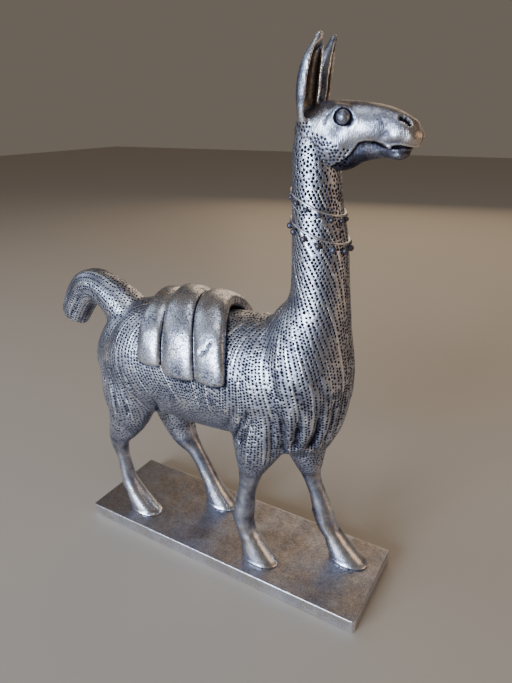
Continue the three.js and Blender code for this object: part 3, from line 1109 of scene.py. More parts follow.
def ear_section(row, sign, height):
    """A leaf-shaped section: an outer arc round the back, then an inner arc with ribs in the cup."""
    turn, mouth = EAR["turn"], EAR["mouth"]
    opening = np.array([math.cos(turn), sign * math.sin(turn), 0])
    side = np.array([-opening[1], opening[0], 0])
    centre = np.array([row[0], row[1] * sign, row[2]])
    wide, deep = row[3], row[4]
    count = 34
    outer = np.linspace(mouth, 2 * math.pi - mouth, count)
    share = np.linspace(1, -1, count + 2)[1:-1]
    front = -share * mouth
    inner = math.pi + share * (math.pi - mouth)
    wall = max(1.3, EAR["wall"] * min(1, wide / 5.5))
    ribs = EAR["rib"] * np.cos(share * math.pi * EAR["ribs"]) * smooth_step(1.0, 0.8, np.abs(share))
    cup_deep = np.maximum(deep - wall - ribs, 0.3)
    cup_wide = np.maximum(wide - wall - ribs, 0.3)
    closed = np.stack([np.cos(front) * deep, np.sin(front) * wide], 1)
    cup = np.stack([np.cos(inner) * cup_deep + EAR["hollow"] * 0.25, np.sin(inner) * cup_wide], 1)
    open_share = smooth_step(0.06, 0.24, height) * smooth_step(0.97, 0.8, height)
    flat = np.concatenate([
        np.stack([np.cos(outer) * deep, np.sin(outer) * wide], 1),
        mix(closed, cup, open_share),
    ])
    return centre + flat[:, :1] * opening + flat[:, 1:] * side


def ear(sign):
    steps_count = 44
    rings = []
    last = len(EAR_ROWS) - 1
    for i in range(steps_count + 1):
        row = row_at(EAR_ROWS, last * i / steps_count)
        rings.append(ear_section(row, sign, i / steps_count))
    tip = row_at(EAR_ROWS, last)
    lean = np.array([0.24, 0, 1.0])
    for scale, reach in dome(1.25, 6):
        row = tip.copy()
        row[:3] += lean * reach * min(tip[3], tip[4])
        row[3:] *= scale
        rings.append(ear_section(row, sign, 1.05))
    return skin(rings)


def closed_tube(centres, radii, sides=12):
    """A ring-shaped tube round a closed path, as points and faces."""
    count = len(centres)
    middle = centres.mean(0)
    rings = []
    for i in range(count):
        along = unit(centres[(i + 1) % count] - centres[i - 1])
        outward = unit(centres[i] - middle)
        outward = unit(outward - along * np.dot(outward, along))
        other = np.cross(along, outward)
        turn = 2 * np.pi * np.arange(sides) / sides
        circle = np.cos(turn)[:, None] * outward + np.sin(turn)[:, None] * other
        rings.append(centres[i] + circle * radii[i])
    faces = []
    for r in range(count):
        for k in range(sides):
            t = (k + 1) % sides
            n = (r + 1) % count
            faces.append([r * sides + k, r * sides + t, n * sides + t, n * sides + k])
    return facing_out(np.concatenate(rings), faces)


def eyelids(sign):
    """Both lids as one almond-shaped ring, heavier above than below."""
    outward = unit(np.array([0.30, -0.93, 0.2]))
    forward = unit(np.array([1, 0.3, -0.08]))
    forward = unit(forward - outward * np.dot(forward, outward))
    upward = np.cross(forward, outward)
    upward = upward * np.sign(upward[2])
    turn = 2 * np.pi * np.arange(40) / 40
    centre = np.array(EYE["at"]) * np.array([1, -1, 1]) + outward * 1.55
    length = LID["ring"] * 1.12
    height = LID["ring"] * 0.92
    centres = centre + np.cos(turn)[:, None] * forward * length + np.sin(turn)[:, None] * upward * height
    centres -= outward * 0.9 * (np.cos(turn) ** 2)[:, None]
    radii = mix(LID["lower_thick"], LID["thick"], smooth_step(-0.5, 0.6, np.sin(turn)))
    centres[:, 1] *= -sign
    return closed_tube(centres, radii)


def mirrored_ball(lump, sign):
    return ball([lump["at"][0], lump["at"][1] * sign, lump["at"][2]], lump["half"])


def head_body():
    shells = [
        limb(HEAD, power=2.2, domes=(0, 0.75)),
        limb(JAW, domes=(0, 0.8)),
        ball(CHEEK["at"], CHEEK["half"]),
        ball(CRANIUM["at"], CRANIUM["half"]),
        ball(NOSE["at"], NOSE["half"]),
        ball(LIP["at"], LIP["half"]),
        mirrored_ball(BROW, 1),
        mirrored_ball(BROW, -1),
    ]
    points, faces = fused(shells, 1.1)
    triangles = as_triangles(points, faces)
    points = smoothed(points, edges_of(triangles), 4)
    shells = [(points, [[int(i) for i in t] for t in triangles])]
    for sign in (1, -1):
        at = [EYE["at"][0], EYE["at"][1] * sign, EYE["at"][2]]
        shells += [ear(sign), eyelids(sign), ball(at, [EYE["radius"]] * 3)]
    points, faces = fused(shells, HEAD_VOXEL)
    triangles = as_triangles(points, faces)
    edges = edges_of(triangles)
    return relaxed(smoothed(points, edges, 1), triangles, edges, 4), faces


def near_copy(points):
    """The points with the far side laid over the near side, for shapes that both sides share."""
    return np.stack([points[:, 0], -np.abs(points[:, 1]), points[:, 2]], 1)


def cheek_pits(points):
    """Sparse pits where the fleece starts on the back of the cheek and the nape, as 0 to 1."""
    rng = random.Random(SEED + 5)
    gap = CHEEK_PITS["spacing"]
    near = near_copy(points)
    outer = np.abs(points[:, 1]) > 4
    total = np.zeros(len(points))
    for i in range(18):
        for j in range(18):
            x = 50 + (i + 0.5 * (j % 2)) * gap + rng.uniform(-0.45, 0.45)
            z = 292 + j * gap * 0.87 + rng.uniform(-0.45, 0.45)
            on_cheek = math.hypot(x - 76, z - 309) < 15.5 and z < 317 - 0.5 * (x - 62)
            at_nape = x < 66 and z < 319
            if (on_cheek or at_nape) and rng.random() < 0.88:
                away = np.hypot(near[:, 0] - x, near[:, 2] - z)
                total = np.maximum(total, np.exp(-((away / CHEEK_PITS["radius"]) ** 2)) * outer)
    return total


def eye_ring(points):
    """The recessed ring between the eyeball and the lids, as 0 to 1."""
    near = near_copy(points)
    centre = np.array([EYE["at"][0], -EYE["at"][1], EYE["at"][2]])
    outward = unit(np.array([0.30, -0.93, 0.2]))
    offset = near - centre
    along = offset @ outward
    across = np.linalg.norm(offset - along[:, None] * outward, axis=1)
    return np.exp(-(((across - EYE_RING["radius"]) / EYE_RING["wide"]) ** 2)) * (along > 0.3)


def jaw_share(points):
    """1 on the recessed lower jaw and 0 above the step."""
    step = np.array(JAW_STEP, float)
    level = np.interp(points[:, 0], step[:, 0], step[:, 1])
    share = smooth_step(-0.1, 1.0, level - points[:, 2])
    return share * smooth_step(70, 78, points[:, 0])


def nostril_share(points):
    near = near_copy(points)
    total = np.zeros(len(points))
    for x, y, z, reach in NOSTRIL:
        gap = np.linalg.norm(near - np.array([x, y, z]), axis=1)
        total = np.maximum(total, np.exp(-((gap / reach) ** 2.4)))
    return total


def softened_roots(points, edges):
    """The ears' roots, melted into the head."""
    ears = np.array([[row[0], row[1]] for row in EAR_ROWS[:3]]).mean(0)
    away = np.hypot(points[:, 0] - ears[0], np.abs(points[:, 1]) - ears[1])
    at_root = smooth_step(EAR_ROOT["low"] - 4, EAR_ROOT["low"], points[:, 2])
    at_root = at_root * smooth_step(EAR_ROOT["high"], EAR_ROOT["high"] - 5, points[:, 2])
    share = at_root * smooth_step(EAR_ROOT["reach"], EAR_ROOT["reach"] - 3, away)
    for _ in range(EAR_ROOT["rounds"]):
        points = points + (neighbour_mean(points, edges) - points) * share[:, None]
    return points


def make_head(material):
    points, quads = head_body()
    triangles = as_triangles(points, quads)
    edges = edges_of(triangles)
    points = softened_roots(points, edges)
    normals = normals_of(points, triangles)
    pits = cheek_pits(points)
    ring = eye_ring(points)
    rise = groove_depths(points, FACE_GROOVES) + lump_heights(points, FACE_LUMPS)
    nostril, jaw = nostril_share(points), jaw_share(points)
    rise -= CHEEK_PITS["deep"] * pits + EYE_RING["deep"] * ring
    rise -= NOSTRIL_DEEP * nostril + JAW_DEEP * jaw
    inside = cup_share(points, normals)
    patina_and_painted_light = np.clip(-groove_depths(points, FACE_GROOVES) / 1.1, 0, 1)
    ears = smooth_step(324, 330, points[:, 2])
    patina_and_painted_light = np.clip(patina_and_painted_light + 0.75 * jaw + nostril + 0.45 * ears * (1 - 0.7 * inside), 0, 1)
    points = points + normals * rise[:, None]
    relief = wear_of(points, triangles, edges, 3, 2.2)
    relief = relief * (1 - 0.9 * np.maximum(pits, 0.8 * ring))
    eye = np.array([EYE["at"][0], -EYE["at"][1], EYE["at"][2]])
    lids = smooth_step(8, 5.5, np.linalg.norm(near_copy(points) - eye, axis=1))
    relief = mix(relief, np.minimum(relief, 0.66), lids)
    snout = smooth_step(110, 119, points[:, 0]) * 0.6
    # Painted warm reflection on the upward-facing top of the head and nose.
    warm_top_reflection = smooth_step(0.55, 0.95, normals[:, 2]) * smooth_step(70, 80, points[:, 0]) * 0.4
    extra = [("relief", relief), ("patina_and_painted_light", patina_and_painted_light), ("warm", np.maximum(0.8 * inside, np.maximum(snout, warm_top_reflection)))]
    head = piece("llama_head", points, triangles, extra)
    print("head triangles", len(triangles))
    settle(head, "llama", material)


def cup_share(points, normals):
    """How much a point lies inside the cup of an ear."""
    rows = np.array([row_at(EAR_ROWS, i / 6) for i in range((len(EAR_ROWS) - 1) * 6 + 1)])
    share = np.zeros(len(points))
    for sign in (1, -1):
        centre_x = np.interp(points[:, 2], rows[:, 2], rows[:, 0])
        centre_y = np.interp(points[:, 2], rows[:, 2], rows[:, 1]) * sign
        opening = np.array([math.cos(EAR["turn"]), sign * math.sin(EAR["turn"])])
        offset = np.stack([points[:, 0] - centre_x, points[:, 1] - centre_y], 1)
        inward = -np.sum(unit(offset) * normals[:, :2], 1)
        near = (np.hypot(offset[:, 0], offset[:, 1]) < 9) & (points[:, 2] > 326)
        share = np.maximum(share, near * np.clip(inward * 1.5, 0, 1))
    return share


# The legs

def bare_leg(leg):
    last = len(leg["rows"]) - 1
    rows = rows_between(leg["rows"], leg["hem"] - 0.9, last, 14, -0.12)
    return limb(rows, sides=40, domes=(0.3, 0.35), dome_rings=5)


def hoof(leg):
    """A boot that flares forwards and sideways to a flat sole with a thin rim."""
    ankle = leg["rows"][-1]
    sole_x, sole_y = leg["hoof"]
    levels = 34
    rings = []
    for i in range(levels + 1):
        t = i / levels
        flare = t ** HOOF["flare"]
        x = mix(ankle[0] + HOOF["forward"], sole_x, flare)
        y = mix(ankle[1], sole_y, flare)
        z = mix(HOOF["top"] + 1.5, GROUND + 0.03, t)
        rim = 0.55 * math.exp(-(((z - GROUND - 0.9) / 0.9) ** 2)) - 0.3 * math.exp(-(((z - GROUND - 3) / 1.0) ** 2))
        long = mix(ankle[3] * HOOF["neck"], HOOF["length"] - 0.3, flare) + rim
        wide = mix(ankle[4] * HOOF["neck"], HOOF["width"] - 0.3, flare) + rim
        turn = 2 * np.pi * np.arange(52) / 52
        ring = np.stack([
            x + np.cos(turn) * long, y + super_sine(turn, 2.3) * wide, np.full(52, z),
        ], 1)
        rings.append(ring)
    return skin(rings)


def dewclaw(leg):
    """The small step at the back of the fetlock."""
    place = [row for row in leg["rows"] if row[2] < 48][0]
    return ball([place[0] - place[3] * 0.72, place[1], place[2] - 1], [3.0, place[4] * 0.72, 2.6], 12, 20)


def make_legs(material):
    shells = []
    for leg in LEGS.values():
        shells += [bare_leg(leg), hoof(leg), dewclaw(leg)]
    points, quads = fused(shells, LEG_VOXEL)
    triangles = as_triangles(points, quads)
    edges = edges_of(triangles)
    points = relaxed(smoothed(points, edges, 2), triangles, edges, 3)
    fetlock = smooth_step(22, 28, points[:, 2]) * smooth_step(42, 36, points[:, 2])
    for _ in range(9):
        points = points + (neighbour_mean(points, edges) - points) * fetlock[:, None]
    normals = normals_of(points, triangles)
    points = points + normals * (0.12 * grain(points, 9, 2, 3))[:, None]
    points[:, 2] = np.maximum(points[:, 2], GROUND + 0.03)
    # Painted light: lighter towards the hooves as a painted highlight, slightly darker on the upper legs as painted
    # shade.
    patina_and_painted_light = mix(-0.55, 0.1, smooth_step(22, 50, points[:, 2]))
    extra = [("relief", wear_of(points, triangles, edges)), ("patina_and_painted_light", patina_and_painted_light)]
    legs = piece("llama_legs", points, triangles, extra)
    print("leg triangles", len(triangles))
    settle(legs, "llama", material)


# Wear

def wear_of(points, triangles, edges, rounds=2, gain=3.2):
    """0 in a hollow, about 0.6 on plain surface and 1 on a worn edge, from how the surface bends."""
    normals = normals_of(points, triangles)
    mean = neighbour_mean(points, edges)
    length = np.linalg.norm(points[edges[:, 0]] - points[edges[:, 1]], axis=1).mean()
    bend = np.sum((mean - points) * normals, 1) / length
    bend = smoothed(bend[:, None], edges, rounds)[:, 0]
    return np.clip(0.62 - gain * bend, 0, 1)


def gap_shade_and_patina(points, tree):
    """Low beside another shell and within it: painted shade, with patina, in the gap between them."""
    out = np.ones(len(points))
    for i, p in enumerate(points):
        place, normal, _, gap = tree.find_nearest(Vector(p), 5)
        if place is not None:
            inside = (Vector(p) - place).dot(normal) < 0
            out[i] = 0.2 if inside else mix(0.2, 1.0, smooth_step(0.2, 2.0, gap))
    return out


def make_pack(material):
    shells = [pack_roll(roll) for roll in PACK_ROLLS]
    trees = [BVHTree.FromPolygons([Vector(p) for p in points], faces) for points, faces in shells]
    all_points, all_triangles, all_relief = [], [], []
    start = 0
    for shell_points, faces in shells:
        triangles = np.array([[f[0], f[i], f[i + 1]] for f in faces for i in range(1, len(f) - 1)])
        edges = edges_of(triangles)
        normals = normals_of(shell_points, triangles)
        lumps = 0.35 * grain(shell_points, 14, 2, 1) + 0.1 * grain(shell_points, 4, 2, 2)
        moved = shell_points + normals * (lumps + groove_depths(shell_points, PACK_MARKS))[:, None]
        relief = wear_of(moved, triangles, edges)
        # Painted shade, with patina, darkens each roll beside and inside the others.
        for k, (other_points, other_faces) in enumerate(shells):
            if other_points is not shell_points:
                relief = np.minimum(relief, gap_shade_and_patina(moved, trees[k]))
        all_points.append(moved)
        all_triangles.append(triangles + start)
        all_relief.append(relief)
        start += len(moved)
    pack = piece("llama_pack", np.concatenate(all_points), np.concatenate(all_triangles),
                 [("relief", np.concatenate(all_relief))])
    print("pack triangles", start * 2)
    settle(pack, "llama", material)


# The strings of beads

def neck_row(z):
    """The neck's row at a height."""
    low, high = 0.0, len(NECK) - 1.0
    for _ in range(30):
        middle = (low + high) / 2
        if row_at(NECK, middle)[2] < z:
            low = middle
        else:
            high = middle
    return row_at(NECK, low)


def round_neck(string, angle, outward, drop):
    z = string["height"] - math.cos(angle) * string["dip"] - drop
    row = neck_row(z)
    return [
        row[0] + math.cos(angle) * (row[3] + outward),
        math.sin(angle) * (row[4] + outward),
        z,
    ]


def path_object(name, points, closed=True):
    mesh = bpy.data.meshes.new(name)
    count = len(points)
    pairs = [(i, (i + 1) % count) for i in range(count if closed else count - 1)]
    mesh.from_pydata([tuple(c * MM for c in p) for p in points], pairs, [])
    obj = bpy.data.objects.new(name, mesh)
    bpy.context.scene.collection.objects.link(obj)
    return obj


def new_tree(name, sockets):
    tree = bpy.data.node_groups.new(name, "GeometryNodeTree")
    tree.interface.new_socket("Path", in_out="INPUT", socket_type="NodeSocketGeometry")
    for label, kind in sockets:
        tree.interface.new_socket(label, in_out="INPUT", socket_type=kind)
    tree.interface.new_socket("Geometry", in_out="OUTPUT", socket_type="NodeSocketGeometry")
    return tree, tree.nodes.new("NodeGroupInput"), tree.nodes.new("NodeGroupOutput")


def cord_tree():
    """A round cord along a path."""
    tree, given, made = new_tree("cord_along_path", [
        ("Radius", "NodeSocketFloat"),
        ("Material", "NodeSocketMaterial"),
    ])
    nodes, links = tree.nodes, tree.links
    curve = nodes.new("GeometryNodeMeshToCurve")
    circle = nodes.new("GeometryNodeCurvePrimitiveCircle")
    circle.inputs["Resolution"].default_value = 10
    tube = nodes.new("GeometryNodeCurveToMesh")
    smooth = nodes.new("GeometryNodeSetShadeSmooth")
    finish = nodes.new("GeometryNodeSetMaterial")
    real = nodes.new("GeometryNodeRealizeInstances")
    links.new(given.outputs["Path"], curve.inputs["Mesh"])
    links.new(given.outputs["Radius"], circle.inputs["Radius"])
    links.new(curve.outputs["Curve"], tube.inputs["Curve"])
    links.new(circle.outputs["Curve"], tube.inputs["Profile Curve"])
    links.new(tube.outputs["Mesh"], smooth.inputs["Geometry"])
    links.new(smooth.outputs["Geometry"], real.inputs["Geometry"])
    links.new(real.outputs["Geometry"], finish.inputs["Geometry"])
    links.new(given.outputs["Material"], finish.inputs["Material"])
    links.new(finish.outputs["Geometry"], made.inputs["Geometry"])
    return tree


def bead_tree():
    """A bead on each point of a path, each a little different in size."""
    tree, given, made = new_tree("beads_on_points", [
        ("Radius", "NodeSocketFloat"),
        ("Size Change", "NodeSocketFloat"),
        ("Seed", "NodeSocketInt"),
        ("Material", "NodeSocketMaterial"),
    ])
    nodes, links = tree.nodes, tree.links
    bead = nodes.new("GeometryNodeMeshUVSphere")
    bead.inputs["Segments"].default_value = 20
    bead.inputs["Rings"].default_value = 12
    low = nodes.new("ShaderNodeMath")
    low.operation = "SUBTRACT"
    low.inputs[0].default_value = 1.0
    high = nodes.new("ShaderNodeMath")
    high.operation = "ADD"
    high.inputs[0].default_value = 1.0
    size = nodes.new("FunctionNodeRandomValue")
    place = nodes.new("GeometryNodeInstanceOnPoints")
    smooth = nodes.new("GeometryNodeSetShadeSmooth")
    real = nodes.new("GeometryNodeRealizeInstances")
    finish = nodes.new("GeometryNodeSetMaterial")
    links.new(given.outputs["Radius"], bead.inputs["Radius"])
    links.new(given.outputs["Size Change"], low.inputs[1])
    links.new(given.outputs["Size Change"], high.inputs[1])
    links.new(low.outputs[0], size.inputs[2])
    links.new(high.outputs[0], size.inputs[3])
    links.new(given.outputs["Seed"], size.inputs["Seed"])
    links.new(given.outputs["Path"], place.inputs["Points"])
    links.new(bead.outputs["Mesh"], place.inputs["Instance"])
    links.new(size.outputs[1], place.inputs["Scale"])
    links.new(place.outputs["Instances"], smooth.inputs["Geometry"])
    links.new(smooth.outputs["Geometry"], real.inputs["Geometry"])
    links.new(real.outputs["Geometry"], finish.inputs["Geometry"])
    links.new(given.outputs["Material"], finish.inputs["Material"])
    links.new(finish.outputs["Geometry"], made.inputs["Geometry"])
    return tree


def grown(obj, tree, values):
    """The mesh that a node tree makes on an object, with its named inputs set."""
    grow = obj.modifiers.new("Grow", "NODES")
    grow.node_group = tree
    for item in tree.interface.items_tree:
        if item.item_type == "SOCKET" and item.in_out == "INPUT" and item.name in values:
            grow[item.identifier] = values[item.name]
    depsgraph = bpy.context.evaluated_depsgraph_get()
    mesh = bpy.data.meshes.new_from_object(obj.evaluated_get(depsgraph))
    bpy.data.objects.remove(obj)
    return mesh


def make_strings(material):
    cords, beads = cord_tree(), bead_tree()
    parts = []
    for k, string in enumerate(STRINGS):
        turns = [2 * math.pi * i / 72 for i in range(72)]
        path = path_object("cord_path", [round_neck(string, a, 0.5, 0) for a in turns])
        parts.append((grown(path, cords, {"Radius": string["cord"] * MM, "Material": material}), CORD_RELIEF))
        count = string["count"]
        spots = [
            round_neck(string, 2 * math.pi * (i + 0.5) / count, string["bead"] * 0.55, string["drop"])
            for i in range(count)
        ]
        dots = path_object("bead_path", spots)
        values = {"Radius": string["bead"] * MM, "Size Change": 0.05, "Seed": SEED + k, "Material": material}
        parts.append((grown(dots, beads, values), BEAD_RELIEF))
    strand = [round_neck(STRAND, math.radians(a), 0.35, 0) for a in range(*STRAND["turn"])]
    path = path_object("strand_path", strand, closed=False)
    parts.append((grown(path, cords, {"Radius": STRAND["cord"] * MM, "Material": material}), CORD_RELIEF))
    points, faces, reliefs = [], [], []
    start = 0
    for mesh, level in parts:
        co, quads = read_mesh(mesh)
        points.append(co / MM)
        faces.append(as_triangles(co, quads) + start)
        reliefs.append(np.full(len(co), level))
        start += len(co)
        bpy.data.meshes.remove(mesh)
    points, triangles = np.concatenate(points), np.concatenate(faces)
    relief = np.concatenate(reliefs)
    strings = piece("neck_strings", points, triangles, [("relief", relief)])
    settle(strings, "llama", material)


# The plinth

def spaced(low, high, edge, step):
    """Places from low to high, close together near both ends."""
    fine = [0, 0.25 * edge, 0.55 * edge, edge, 1.8 * edge]
    count = max(2, int((high - low - 3.6 * edge) / step))
    middle = np.linspace(low + 1.8 * edge, high - 1.8 * edge, count + 1)
    return np.concatenate([[low + f for f in fine[:-1]], middle, [high - f for f in fine[:-1]][::-1]])


def slab():
    """A box of fine faces as points and quads, before its corners and edges are rounded."""
    low, high = np.array(PLINTH_LOW) / MM, np.array(PLINTH_HIGH) / MM
    xs = spaced(low[0], high[0], SLAB["edge"], SLAB["step"])
    ys = spaced(low[1], high[1], SLAB["edge"], SLAB["step"])
    zs = spaced(low[2], high[2], SLAB["edge"], SLAB["step"])
    index, points, faces = {}, [], []

    def corner(i, j, k):
        if (i, j, k) not in index:
            index[(i, j, k)] = len(points)
            points.append([xs[i], ys[j], zs[k]])
        return index[(i, j, k)]

    nx, ny, nz = len(xs) - 1, len(ys) - 1, len(zs) - 1
    for i in range(nx):
        for j in range(ny):
            faces.append([corner(i, j, 0), corner(i, j + 1, 0), corner(i + 1, j + 1, 0), corner(i + 1, j, 0)])
            faces.append([corner(i, j, nz), corner(i + 1, j, nz), corner(i + 1, j + 1, nz), corner(i, j + 1, nz)])
    for i in range(nx):
        for k in range(nz):
            faces.append([corner(i, 0, k), corner(i + 1, 0, k), corner(i + 1, 0, k + 1), corner(i, 0, k + 1)])
            faces.append([corner(i, ny, k), corner(i, ny, k + 1), corner(i + 1, ny, k + 1), corner(i + 1, ny, k)])
    for j in range(ny):
        for k in range(nz):
            faces.append([corner(0, j, k), corner(0, j, k + 1), corner(0, j + 1, k + 1), corner(0, j + 1, k)])
            faces.append([corner(nx, j, k), corner(nx, j + 1, k), corner(nx, j + 1, k + 1), corner(nx, j, k + 1)])
    return np.array(points), np.array(faces), low, high


def rounded(a, b, radius):
    """Two distances inside a corner, turned from a square corner into a round one."""
    u, v = np.clip(1 - a / radius, 0, 1), np.clip(1 - b / radius, 0, 1)
    largest, length = np.maximum(u, v), np.maximum(np.hypot(u, v), 1e-9)
    scale = np.where(length > 1e-6, largest / length, 1.0)
    inside = (a < radius) & (b < radius)
    return np.where(inside, (1 - u * scale) * radius, a), np.where(inside, (1 - v * scale) * radius, b)


def make_plinth(material):
    points, quads, low, high = slab()
    middle = (low + high) / 2
    sign = np.sign(points - middle)
    inset = (high - low) / 2 - np.abs(points - middle)
    inset[:, 0], inset[:, 1] = rounded(inset[:, 0], inset[:, 1], SLAB["corner"])
    border = np.minimum(inset[:, 0], inset[:, 1])
    for axis in (0, 1):
        use = inset[:, axis] <= inset[:, 1 - axis]
        moved, level = rounded(inset[:, axis], inset[:, 2], SLAB["edge"])
        inset[:, axis] = np.where(use, moved, inset[:, axis])
        inset[:, 2] = np.where(use & (border < SLAB["edge"]), level, inset[:, 2])
    points = middle + sign * ((high - low) / 2 - inset)
    triangles = as_triangles(points, quads)
    edges = edges_of(triangles)
    normals = normals_of(points, triangles)
    worn = 0.12 * grain(points, 22, 3, 4) + 0.05 * grain(points, 5, 2, 5) - 0.05
    free = smooth_step(0.0, 3.0, points[:, 2] - low[2])
    points = points + normals * (np.minimum(worn, 0.0) * free)[:, None]
    relief = wear_of(points, triangles, edges, 1)
    # Painted reflection: the upright sides are made lighter than the top.
    patina_and_painted_light = mix(-0.5, 0.0, smooth_step(0.3, 0.9, np.abs(normals[:, 2])))
    plinth = piece("plinth_block", points, triangles, [("relief", relief), ("patina_and_painted_light", patina_and_painted_light)])
    print("plinth triangles", len(triangles))
    plinth.data.materials.append(material)
    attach(plinth, "root")
    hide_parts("plinth")


# Making pieces

def piece(name, points, triangles, attributes=(), normals=None):
    mesh = bpy.data.meshes.new(name)
    mesh.vertices.add(len(points))
    mesh.vertices.foreach_set("co", (points * MM).astype(np.float32).ravel())
    mesh.loops.add(len(triangles) * 3)
    mesh.loops.foreach_set("vertex_index", triangles.astype(np.int32).ravel())
    mesh.polygons.add(len(triangles))
    mesh.polygons.foreach_set("loop_start", np.arange(len(triangles), dtype=np.int32) * 3)
    mesh.update(calc_edges=True)
    mesh.shade_smooth()
    if normals is not None:
        mesh.normals_split_custom_set_from_vertices(normals.tolist())
    for label, values in attributes:
        layer = mesh.attributes.new(label, "FLOAT", "POINT")
        layer.data.foreach_set("value", values.astype(np.float32))
    obj = bpy.data.objects.new(name, mesh)
    bpy.context.scene.collection.objects.link(obj)
    return obj


def half_of(points, triangles, keep):
    """One part of a skin, closed by a fan across its cut. Gives the old index of each point too."""
    chosen = triangles[keep]
    pairs = np.concatenate([chosen[:, [0, 1]], chosen[:, [1, 2]], chosen[:, [2, 0]]])
    known = {tuple(p) for p in pairs.tolist()}
    border = [p for p in known if (p[1], p[0]) not in known]
    rim = sorted({i for p in border for i in p})
    centre = len(points)
    caps = np.array([[b, a, centre] for a, b in border])
    points = np.concatenate([points, points[rim].mean(0)[None]])
    chosen = np.concatenate([chosen, caps])
    old, new = np.unique(chosen, return_inverse=True)
    return points[old], new.reshape(-1, 3), old


def make_fleece(material):
    points, triangles, relief, patina_and_painted_light = fleece()
    normals = normals_of(points, triangles)
    normals = np.concatenate([normals, [[1, 0, 0]]])
    relief = np.concatenate([relief, [0.5]])
    patina_and_painted_light = np.concatenate([patina_and_painted_light, [0.0]])
    front = points[triangles].mean(1)[:, 0] > SPLIT_X
    for name, keep in (("fleece_front", front), ("fleece_rear", ~front)):
        part, faces, old = half_of(points, triangles, keep)
        print(name, "triangles", len(faces))
        obj = piece(name, part, faces, [("relief", relief[old]), ("patina_and_painted_light", patina_and_painted_light[old])], normals[old])
        settle(obj, "llama", material)


def settle(obj, node, material):
    obj.data.materials.clear()
    obj.data.materials.append(material)
    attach(obj, "root")
    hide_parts(node)
    return obj


# Materials

def new_group(name, inputs, outputs):
    """A shader node group with named inputs (name, default) and outputs (name, kind)."""
    tree = bpy.data.node_groups.new(name, "ShaderNodeTree")
    for label, default in inputs:
        kind = "NodeSocketVector" if default is None else "NodeSocketFloat"
        socket = tree.interface.new_socket(label, in_out="INPUT", socket_type=kind)
        if default is not None:
            socket.default_value = default
    for label, kind in outputs:
        tree.interface.new_socket(label, in_out="OUTPUT", socket_type=kind)
    return tree, tree.nodes.new("NodeGroupInput"), tree.nodes.new("NodeGroupOutput")


def noise_node(tree, vector, scale, detail, rough=0.55):
    node = tree.nodes.new("ShaderNodeTexNoise")
    node.inputs["Scale"].default_value = scale
    node.inputs["Detail"].default_value = detail
    node.inputs["Roughness"].default_value = rough
    tree.links.new(vector, node.inputs["Vector"])
    return node.outputs["Fac"]


def sums(tree, kind, first, second, clamp=False):
    """A math node on two values, each a socket or a number."""
    node = tree.nodes.new("ShaderNodeMath")
    node.operation = kind
    node.use_clamp = clamp
    for slot, value in enumerate((first, second)):
        if isinstance(value, (int, float)):
            node.inputs[slot].default_value = value
        else:
            tree.links.new(value, node.inputs[slot])
    return node.outputs[0]


def ranged(tree, value, low, high, start, end):
    node = tree.nodes.new("ShaderNodeMapRange")
    node.interpolation_type = "SMOOTHSTEP"
    for label, number in (("From Min", low), ("From Max", high), ("To Min", start), ("To Max", end)):
        node.inputs[label].default_value = number
    tree.links.new(value, node.inputs["Value"])
    return node.outputs["Result"]


def ramp_of(tree, value, stops):
    node = tree.nodes.new("ShaderNodeValToRGB")
    ramp = node.color_ramp
    while len(ramp.elements) < len(stops):
        ramp.elements.new(0.5)
    for element, (place, colour) in zip(ramp.elements, stops):
        element.position = place
    for element, (place, colour) in zip(ramp.elements, stops):
        element.color = (*colour, 1)
    tree.links.new(value, node.inputs["Fac"])
    return node.outputs["Color"]


def patina_group():
    """Where dark patina lies: in pits and grooves, and in patches and specks on plain surface. One input adds patina
    of hollows together with painted shade and painted highlight.
    """
    tree, given, made = new_group("antique_patina", [
        ("Vector", None), ("Relief", 0.62), ("Patina_And_Painted_Light", 0.0), ("Cover", 0.4), ("Patches", 0.8), ("Specks", 0.6),
    ], [("Mask", "NodeSocketFloat")])
    where = given.outputs["Vector"]
    patches = noise_node(tree, where, PATCH_SCALE, 3)
    specks = noise_node(tree, where, SPECK_SCALE, 3, 0.7)
    pit = ranged(tree, given.outputs["Relief"], 0.28, 0.52, 1, 0)
    worn = ranged(tree, given.outputs["Relief"], 0.56, 0.95, 0, 0.6)
    hollow = ranged(tree, given.outputs["Relief"], 0.40, 0.62, 0.3, 0)
    patches = sums(tree, "MULTIPLY", sums(tree, "SUBTRACT", patches, 0.5), given.outputs["Patches"])
    specks = sums(tree, "MULTIPLY", sums(tree, "SUBTRACT", specks, 0.5), given.outputs["Specks"])
    field = sums(tree, "ADD", sums(tree, "ADD", patches, specks), given.outputs["Cover"])
    field = sums(tree, "ADD", field, sums(tree, "MULTIPLY", given.outputs["Patina_And_Painted_Light"], 0.6))
    field = sums(tree, "ADD", sums(tree, "SUBTRACT", field, worn), hollow, True)
    mask = sums(tree, "MAXIMUM", field, pit)
    tree.links.new(mask, made.inputs["Mask"])
    return tree


def colour_group():
    """From the patina's mask, which also carries painted shade and painted highlight, to a colour and a roughness,
    between cool silver and warm bronze.
    """
    tree, given, made = new_group("antique_colour", [("Mask", 0.4), ("Warm", 0.0)], [
        ("Color", "NodeSocketColor"), ("Roughness", "NodeSocketFloat"),
    ])
    mask = given.outputs["Mask"]
    cool = ramp_of(tree, mask, SILVER_STOPS)
    warm = ramp_of(tree, mask, BRONZE_STOPS)
    both = tree.nodes.new("ShaderNodeMix")
    both.data_type = "RGBA"
    tree.links.new(given.outputs["Warm"], both.inputs[0])
    tree.links.new(cool, both.inputs[6])
    tree.links.new(warm, both.inputs[7])
    tree.links.new(both.outputs[2], made.inputs["Color"])
    tree.links.new(ranged(tree, mask, 0, 1, *ROUGHNESS), made.inputs["Roughness"])
    return tree


